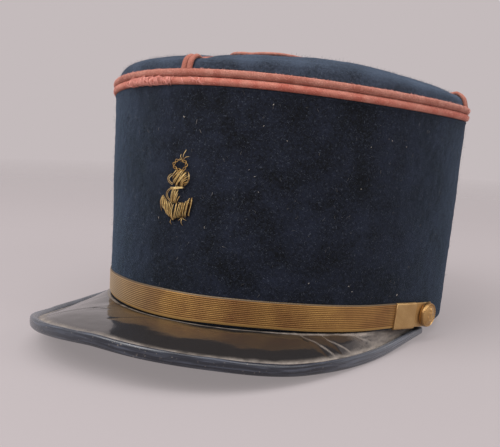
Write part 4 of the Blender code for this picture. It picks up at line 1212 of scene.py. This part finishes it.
film = add_node(tree, "Math", {0: dusty.outputs["Fac"], 1: grit_share.outputs[0]}, operation="MULTIPLY")
span = {"Value": grit.outputs[0], "From Min": 0.69, "From Max": 0.78, "To Min": VISOR_FILM, "To Max": 0.4}
speck = add_node(tree, "MapRange", span)
cover = add_node(tree, "Math", {0: film.outputs[0], 1: speck.outputs[0]}, operation="MAXIMUM")
color = add_node(tree, "Mix", {0: cover.outputs[0], 6: LACQUER, 7: DUST}, data_type="RGBA")
tree.links.new(color.outputs[2], surface.inputs["Base Color"])
haze = add_node(tree, "TexNoise", {"Vector": place, "Scale": 1 / HAZE_GRAIN, "Detail": 5.0})
gloss = add_node(tree, "MapRange", {"Value": haze.outputs[0], "To Max": 0.14})
rougher = add_node(tree, "Math", {0: cover.outputs[0], 1: dulled.outputs["Fac"]}, operation="MAXIMUM")
rough = add_node(tree, "Math", {0: rougher.outputs[0], 1: gloss.outputs[0]}, operation="ADD", use_clamp=True)
tree.links.new(rough.outputs[0], surface.inputs["Roughness"])
fine = {"Vector": place, "Scale": 1 / WRINKLE_GRAIN, "Detail": 3.0, "Distortion": 0.6}
wrinkle = add_node(tree, "TexNoise", fine)
bump = add_node(tree, "Bump", {"Height": wrinkle.outputs[0], "Strength": 0.10, "Distance": 0.0004})
tree.links.new(bump.outputs[0], surface.inputs["Normal"])

visor = show("patent_visor", visor_mesh, patent)
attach(visor, "root")
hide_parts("visor")

# The rim: a strip of the same leather rolled over the visor's edge and glued. Handling has scuffed it, and it
# grows lower towards its ends.
RIM_STATIONS = 640
RIM_SIDES = 30
RIM_SHAPE = 2.7  # 2 is an ellipse, and more is squarer
RIM_TUCK = 0.5  # how far its upper side falls towards the visor, as a share of its half height
RIM_UNEVEN = 0.00007
RIM_UNEVEN_GRAIN = 0.007
path, outward, rim_marks, tall = rim_path(RIM_STATIONS)
turn = np.linspace(0.0, 2 * np.pi, RIM_SIDES, endpoint=False)
out, up = (np.sign(wave) * np.abs(wave) ** (2 / RIM_SHAPE) for wave in (np.cos(turn), np.sin(turn)))
steps = (RIM_HEIGHT / 8, rim_marks[1])
uneven = RIM_UNEVEN * lumps((RIM_SIDES, RIM_STATIONS), steps, RIM_UNEVEN_GRAIN, 41)
roll = (out[:, None] - 1.0) * RIM_DEPTH / 2 + uneven * out[:, None]
up = up * (1.0 - RIM_TUCK * (up > 0) * (1.0 - out) / 2)
lift = (up[:, None] + 1.0) * tall[:, 0] / 2 + uneven * up[:, None] * (up[:, None] > 0)
binding = path + outward * roll[..., None] + upright * lift[..., None]
binding[:, [0, -1]] = binding[:, [0, -1]].mean(axis=0)
girth = np.append(turn, 2 * np.pi) * (RIM_HEIGHT + RIM_DEPTH) / 4
rim_mesh = skin("rolled_rim", on_stand(binding[::-1]), True, False, (girth, rim_marks), None)

# Scuffed patent leather: the lacquer is worn to a satin. The eye gets a blue-black with long pale streaks:
# scuffs, painted paler as highlights along the roll. A painted reflection of the pale surround makes it paler
# towards the wearer's right, and a painted highlight makes it paler towards its ends.
RIM_BLACK = hex_color("191D27")
RIM_SCUFF_AND_HIGHLIGHT = hex_color("666E7E")
RIM_PAINTED_SHINE = hex_color("7C828B")
SCUFF_LENGTH = 0.0167
SCUFF_WIDTH = 0.000667
RIM_GRIT = 0.000909
scuffed_with_shine, tree, surface = new_material("scuffed patent leather with painted shine", IOR=1.55)
place = add_node(tree, "TexCoord").outputs["Object"]
lay = add_node(tree, "UVMap", uv_map="lay").outputs[0]
stretched = add_node(tree, "Mapping", {"Vector": lay, "Scale": (1 / SCUFF_LENGTH, 1 / SCUFF_WIDTH, 1.0)})
streak = add_node(tree, "TexNoise", {"Vector": stretched.outputs[0], "Scale": 1.0, "Detail": 3.0})
# Painted highlight: the long pale streaks, scuffs in part, are painted as the highlights along the roll.
span = {"Value": streak.outputs[0], "From Min": 0.48, "From Max": 0.75, "To Max": 0.5}
scuff_and_highlight = add_node(tree, "MapRange", span)
color = add_node(tree, "Mix", {0: scuff_and_highlight.outputs[0], 6: RIM_BLACK, 7: RIM_SCUFF_AND_HIGHLIGHT}, data_type="RGBA")
# Painted reflection and highlight: paler towards the wearer's right, where the pale surround is mirrored, and
# towards its ends.
sides = add_node(tree, "SeparateXYZ", {0: place})
span = {"Value": sides.outputs[0], "From Min": 0.01, "From Max": -0.06, "To Max": 0.30}
right_reflection = add_node(tree, "MapRange", span)
span = {"Value": sides.outputs[1], "From Min": -0.075, "From Max": -0.02, "To Max": 0.5}
end_highlight = add_node(tree, "MapRange", span)
painted_shine = add_node(tree, "Math", {0: right_reflection.outputs[0], 1: end_highlight.outputs[0]}, operation="MAXIMUM")
color = add_node(tree, "Mix", {0: painted_shine.outputs[0], 6: color.outputs[2], 7: RIM_PAINTED_SHINE}, data_type="RGBA")
grit = add_node(tree, "TexNoise", {"Vector": place, "Scale": 1 / RIM_GRIT, "Detail": 3.0})
span = {"Value": grit.outputs[0], "From Min": 0.66, "From Max": 0.76, "To Max": 0.7}
dusted = add_node(tree, "MapRange", span)
flecked = add_node(tree, "Mix", {0: dusted.outputs[0], 6: color.outputs[2], 7: DUST}, data_type="RGBA")
tree.links.new(flecked.outputs[2], surface.inputs["Base Color"])
satin = add_node(tree, "MapRange", {"Value": streak.outputs[0], "To Min": 0.14, "To Max": 0.42})
tree.links.new(satin.outputs[0], surface.inputs["Roughness"])
bump = add_node(tree, "Bump", {"Height": streak.outputs[0], "Strength": 0.25, "Distance": 0.0003})
tree.links.new(bump.outputs[0], surface.inputs["Normal"])

rim = show("rolled_rim", rim_mesh, scuffed_with_shine)
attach(rim, "root")
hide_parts("visor_rim")

# Frayed yarn: on the wearer's right the lower seam cord has worn into pale pink loops, and both cords are
# hairy all round.
FRAY = (
    # loops, degrees round from, to, height off the cord, girth: millimetres
    (4, -60.0, -28.0, 0.30, 0.12),
    (74, -23.5, -8.0, 0.90, 0.15),
    (16, -8.0, -4.0, 0.70, 0.13),
    (9, -4.0, 6.0, 0.35, 0.11),
)
FRAY_LEAN = 0.0019  # how far a loop runs along the cord, and how far it bows on the way
FRAY_START = 1.15  # where a loop starts and ends on the cord's round, in radians up from straight out
FRAY_END = -1.45
FRAY_LENGTHS = (0.4, 1.5)  # between which shares of its height a loop's varies
FRAY_GIRTHS = (0.8, 1.2)
HAIRS = 4200
HAIR_GIRTH = 0.00004
HAIR_LENGTHS = (0.2, 0.7)  # millimetres off the cord
HAIR_RUN = 0.012  # how far it runs along the cord, in radians round the wall
HAIR_SPREAD = 1.2  # on the cord's round, in radians to either side of straight out


def on_cord(angle, around, off, upper):
    """A point off a seam cord, by its angles round the wall and round the cord and how far off it stands."""
    reach = CORD / 2 + off
    seam = WALL_HEIGHT + (upper - 0.5) * CORD_PITCH
    return on_stand(wall_point(angle, seam + reach * np.sin(around), reach * np.cos(around) - CORD_SINK))


share = np.linspace(0.0, 1.0, 14)
arc = np.sin(np.pi * share)
loops = []
girths = []
for count, start, end, off, girth in FRAY:
    angle = np.radians(chance.uniform(start, end, (count, 1)))
    lean, bow = FRAY_LEAN / STRAP_RADIUS * chance.normal(0.0, 1.0, (2, count, 1))
    around = FRAY_START + chance.normal(0.0, 0.4, (count, 1)) + (FRAY_END - FRAY_START) * share
    around += chance.uniform(-0.5, 1.1, (count, 1)) * share
    height = off * MILLIMETRE * chance.uniform(*FRAY_LENGTHS, (count, 1))
    loops.append(on_cord(angle + lean * share + bow * arc, around, height * arc, 0))
    girths.append(girth * MILLIMETRE * chance.uniform(*FRAY_GIRTHS, count))
frayed = threads(np.concatenate(loops), np.concatenate(girths), (0.31, 0.22, 0.93), 7)
angle = chance.uniform(-np.pi, np.pi, (HAIRS, 1))
run = chance.normal(0.0, HAIR_RUN, (HAIRS, 1))
around = chance.uniform(-HAIR_SPREAD, HAIR_SPREAD, (HAIRS, 1))
height = chance.uniform(*HAIR_LENGTHS, (HAIRS, 1)) * MILLIMETRE
share = np.linspace(0.0, 1.0, 4)
upper = chance.integers(0, 2, (HAIRS, 1))
hair = on_cord(angle + run * share, around + 0.4 * share, height * share, upper)
hair = threads(hair, HAIR_GIRTH, (0.3, 0.2, 0.9), 3)

# Loose worsted: the same wool, untwisted and paler. The eye gets light pink curls against the salmon.
pale_wool, tree, surface = new_material(
    "loose red wool",
    Base_Color=hex_color("E09A8C"),
    Roughness=0.95,
    Sheen_Weight=0.4,
    Sheen_Tint=hex_color("FFE0D8"),
)
for name, points in (("frayed_yarn", frayed), ("cord_hairs", hair)):
    thing = show(name, skin(name, points, False, True), pale_wool)
    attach(thing, "root")

# Lint: fluff, threads and pale flecks that cling to the felt, the larger ones where the photo has them. The
# finer fluff is strewn by chance all round.
LINT = (
    # degrees round, millimetres up, length, turn in degrees, tone from dark (0) to white (1)
    (25.2, 96.5, 2.0, 65, 0.85),
    (0.5, 88.8, 2.4, 165, 0.80),
    (51.0, 65.0, 1.3, 100, 0.70),
    (21.8, 66.0, 1.4, 20, 0.55),
    (23.2, 59.5, 1.3, 120, 0.50),
    (52.5, 83.8, 1.2, 70, 0.60),
    (58.8, 87.8, 1.4, 80, 0.65),
    (64.0, 85.8, 1.2, 30, 0.60),
    (39.0, 22.0, 1.6, 40, 0.60),
    (50.8, 21.2, 1.5, 140, 0.65),
    (52.0, 18.8, 1.3, 10, 0.60),
    (67.8, 16.8, 2.2, 60, 0.95),
    (9.0, 42.2, 2.6, 110, 0.35),
    (23.0, 87.5, 1.8, 60, 0.55),
    (29.5, 82.2, 1.4, 150, 0.55),
    (20.2, 68.5, 1.3, 45, 0.50),
    (4.8, 86.8, 5.0, 80, 0.22),
    (6.0, 83.0, 4.0, 120, 0.20),
    (11.0, 56.5, 4.0, 75, 0.22),
    (-0.2, 11.5, 1.4, 15, 0.95),
    (-6.2, 43.8, 2.0, 95, 0.75),
    (45.8, 103.5, 2.2, 20, 0.90),
    (48.5, 104.5, 1.8, 160, 0.85),
)
LINT_SHARE = 0.5  # of the photo's length, which blurs them longer
LINT_TONE = 0.75
LINT_DARK = hex_color("20242C")
LINT_PALE = hex_color("D8D0C4")
LINT_GIRTH = 0.00012
LINT_LIFT = (0.0001, 0.0002)  # off the felt at its ends, and more in its middle
LINT_CURL = 0.9  # radians
FLUFF = 420
FLUFF_GIRTH = 0.00003
FLUFF_HEIGHTS = (14.0, 101.0)  # millimetres up the wall
FLUFF_LENGTHS = (0.5, 2.2)  # millimetres
FLUFF_TONES = (0.08, 0.35)
share = np.linspace(-0.5, 0.5, 8)
known = np.array(LINT, dtype=float)
count = len(known) + FLUFF
round_by = np.radians(np.concatenate([known[:, 0], chance.uniform(-180.0, 180.0, FLUFF)]))[:, None]
up_by = np.concatenate([known[:, 1], chance.uniform(*FLUFF_HEIGHTS, FLUFF)])[:, None] * MILLIMETRE
long_by = np.concatenate([known[:, 2] * LINT_SHARE, chance.uniform(*FLUFF_LENGTHS, FLUFF)])
long_by = long_by[:, None] * MILLIMETRE
turned = np.radians(np.concatenate([known[:, 3], chance.uniform(0.0, 180.0, FLUFF)]))[:, None]
curl = chance.normal(0.0, LINT_CURL, (count, 1))
tone = np.concatenate([known[:, 4] * LINT_TONE, chance.uniform(*FLUFF_TONES, FLUFF)])
girth = np.concatenate([np.full(len(known), LINT_GIRTH), np.full(FLUFF, FLUFF_GIRTH)])
heading = turned + curl * share
bent = long_by * curl * (share**2 - 0.25) / 2
angle = round_by + (long_by * share * np.cos(heading) + bent) / STRAP_RADIUS
height = up_by + long_by * share * np.sin(heading) - bent
lint = on_stand(wall_point(angle, height, LINT_LIFT[0] + LINT_LIFT[1] * (1 - 4 * share**2)))
marks = {"tone": tone[:, None, None]}
fluff_mesh = skin("lint", threads(lint, girth, (0.12, -0.35, 0.2), 4), False, True, None, marks)

fluff, tree, surface = new_material("lint", Roughness=0.95)
shade = add_node(tree, "Attribute", attribute_name="tone")
color = add_node(tree, "Mix", {0: shade.outputs["Fac"], 6: LINT_DARK, 7: LINT_PALE}, data_type="RGBA")
tree.links.new(color.outputs[2], surface.inputs["Base Color"])
thing = show("lint", fluff_mesh, fluff)
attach(thing, "root")

# The nap: single wool fibres that stand off the felt, most of them on the rubbed edge of the top. They soften
# the outline against the light.
NAP_ON_TOP = 5200
NAP_ON_WALL = 3000
NAP_LENGTH = 0.0009
NAP_SPREAD = (0.4, 1.0)  # between which shares of that length a fibre's varies
NAP_GIRTH = 0.000028
NAP_LEAN = 0.7  # how far a fibre leans over for its height
NAP_EDGE = 0.30  # share of the top's radius, in from its edge, that has fibres
NAP_MARGIN = 0.002  # what is left bare at the edges of the top (a share) and of the wall (metres)
NAP_LOW = 0.014  # where the wall's fibres begin
NAP_COLOR = hex_color("5A626D")
share = np.linspace(0.0, 1.0, 4)


def standing(place, aside, away):
    """Fibres (count, stations, 3) that rise along away and lean to aside by the square of their height."""
    long_by = NAP_LENGTH * chance.uniform(*NAP_SPREAD, (len(place), 1, 1))
    along = share[:, None]
    return place[:, None] + long_by * (along * away[:, None] + NAP_LEAN * along**2 * aside[:, None])


def in_units(vectors):
    """The same directions with a length of 1."""
    return vectors / np.linalg.norm(vectors, axis=-1, keepdims=True)


step = 1e-4
angle = chance.uniform(-np.pi, np.pi, NAP_ON_TOP)
radius = 1.0 - NAP_EDGE * chance.random(NAP_ON_TOP) ** 1.5 - NAP_MARGIN
place = top_point(angle, radius, top_rise(angle, radius))
inward = top_point(angle, radius - step, top_rise(angle, radius - step)) - place
onward = top_point(angle + step, radius, top_rise(angle + step, radius)) - place
on_the_top = standing(place, chance.normal(0.0, 1.0, (NAP_ON_TOP, 3)), in_units(np.cross(onward, inward)))
angle = chance.uniform(-np.pi, np.pi, NAP_ON_WALL)
height = chance.uniform(NAP_LOW, SHOULDER - NAP_MARGIN, NAP_ON_WALL)
place = wall_point(angle, height)
away = in_units(wall_point(angle, height, step) - place)
on_the_wall = standing(place, chance.normal(0.0, 1.0, (NAP_ON_WALL, 3)), away)
fibres = on_stand(np.concatenate([on_the_top, on_the_wall]))
nap_mesh = skin("standing_nap", threads(fibres, NAP_GIRTH, (0.31, 0.42, 0.85), 3), False, True)
nap_wool = new_material("standing wool fibres", Base_Color=NAP_COLOR, Roughness=0.95)[0]
thing = show("standing_nap", nap_mesh, nap_wool)
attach(thing, "root")
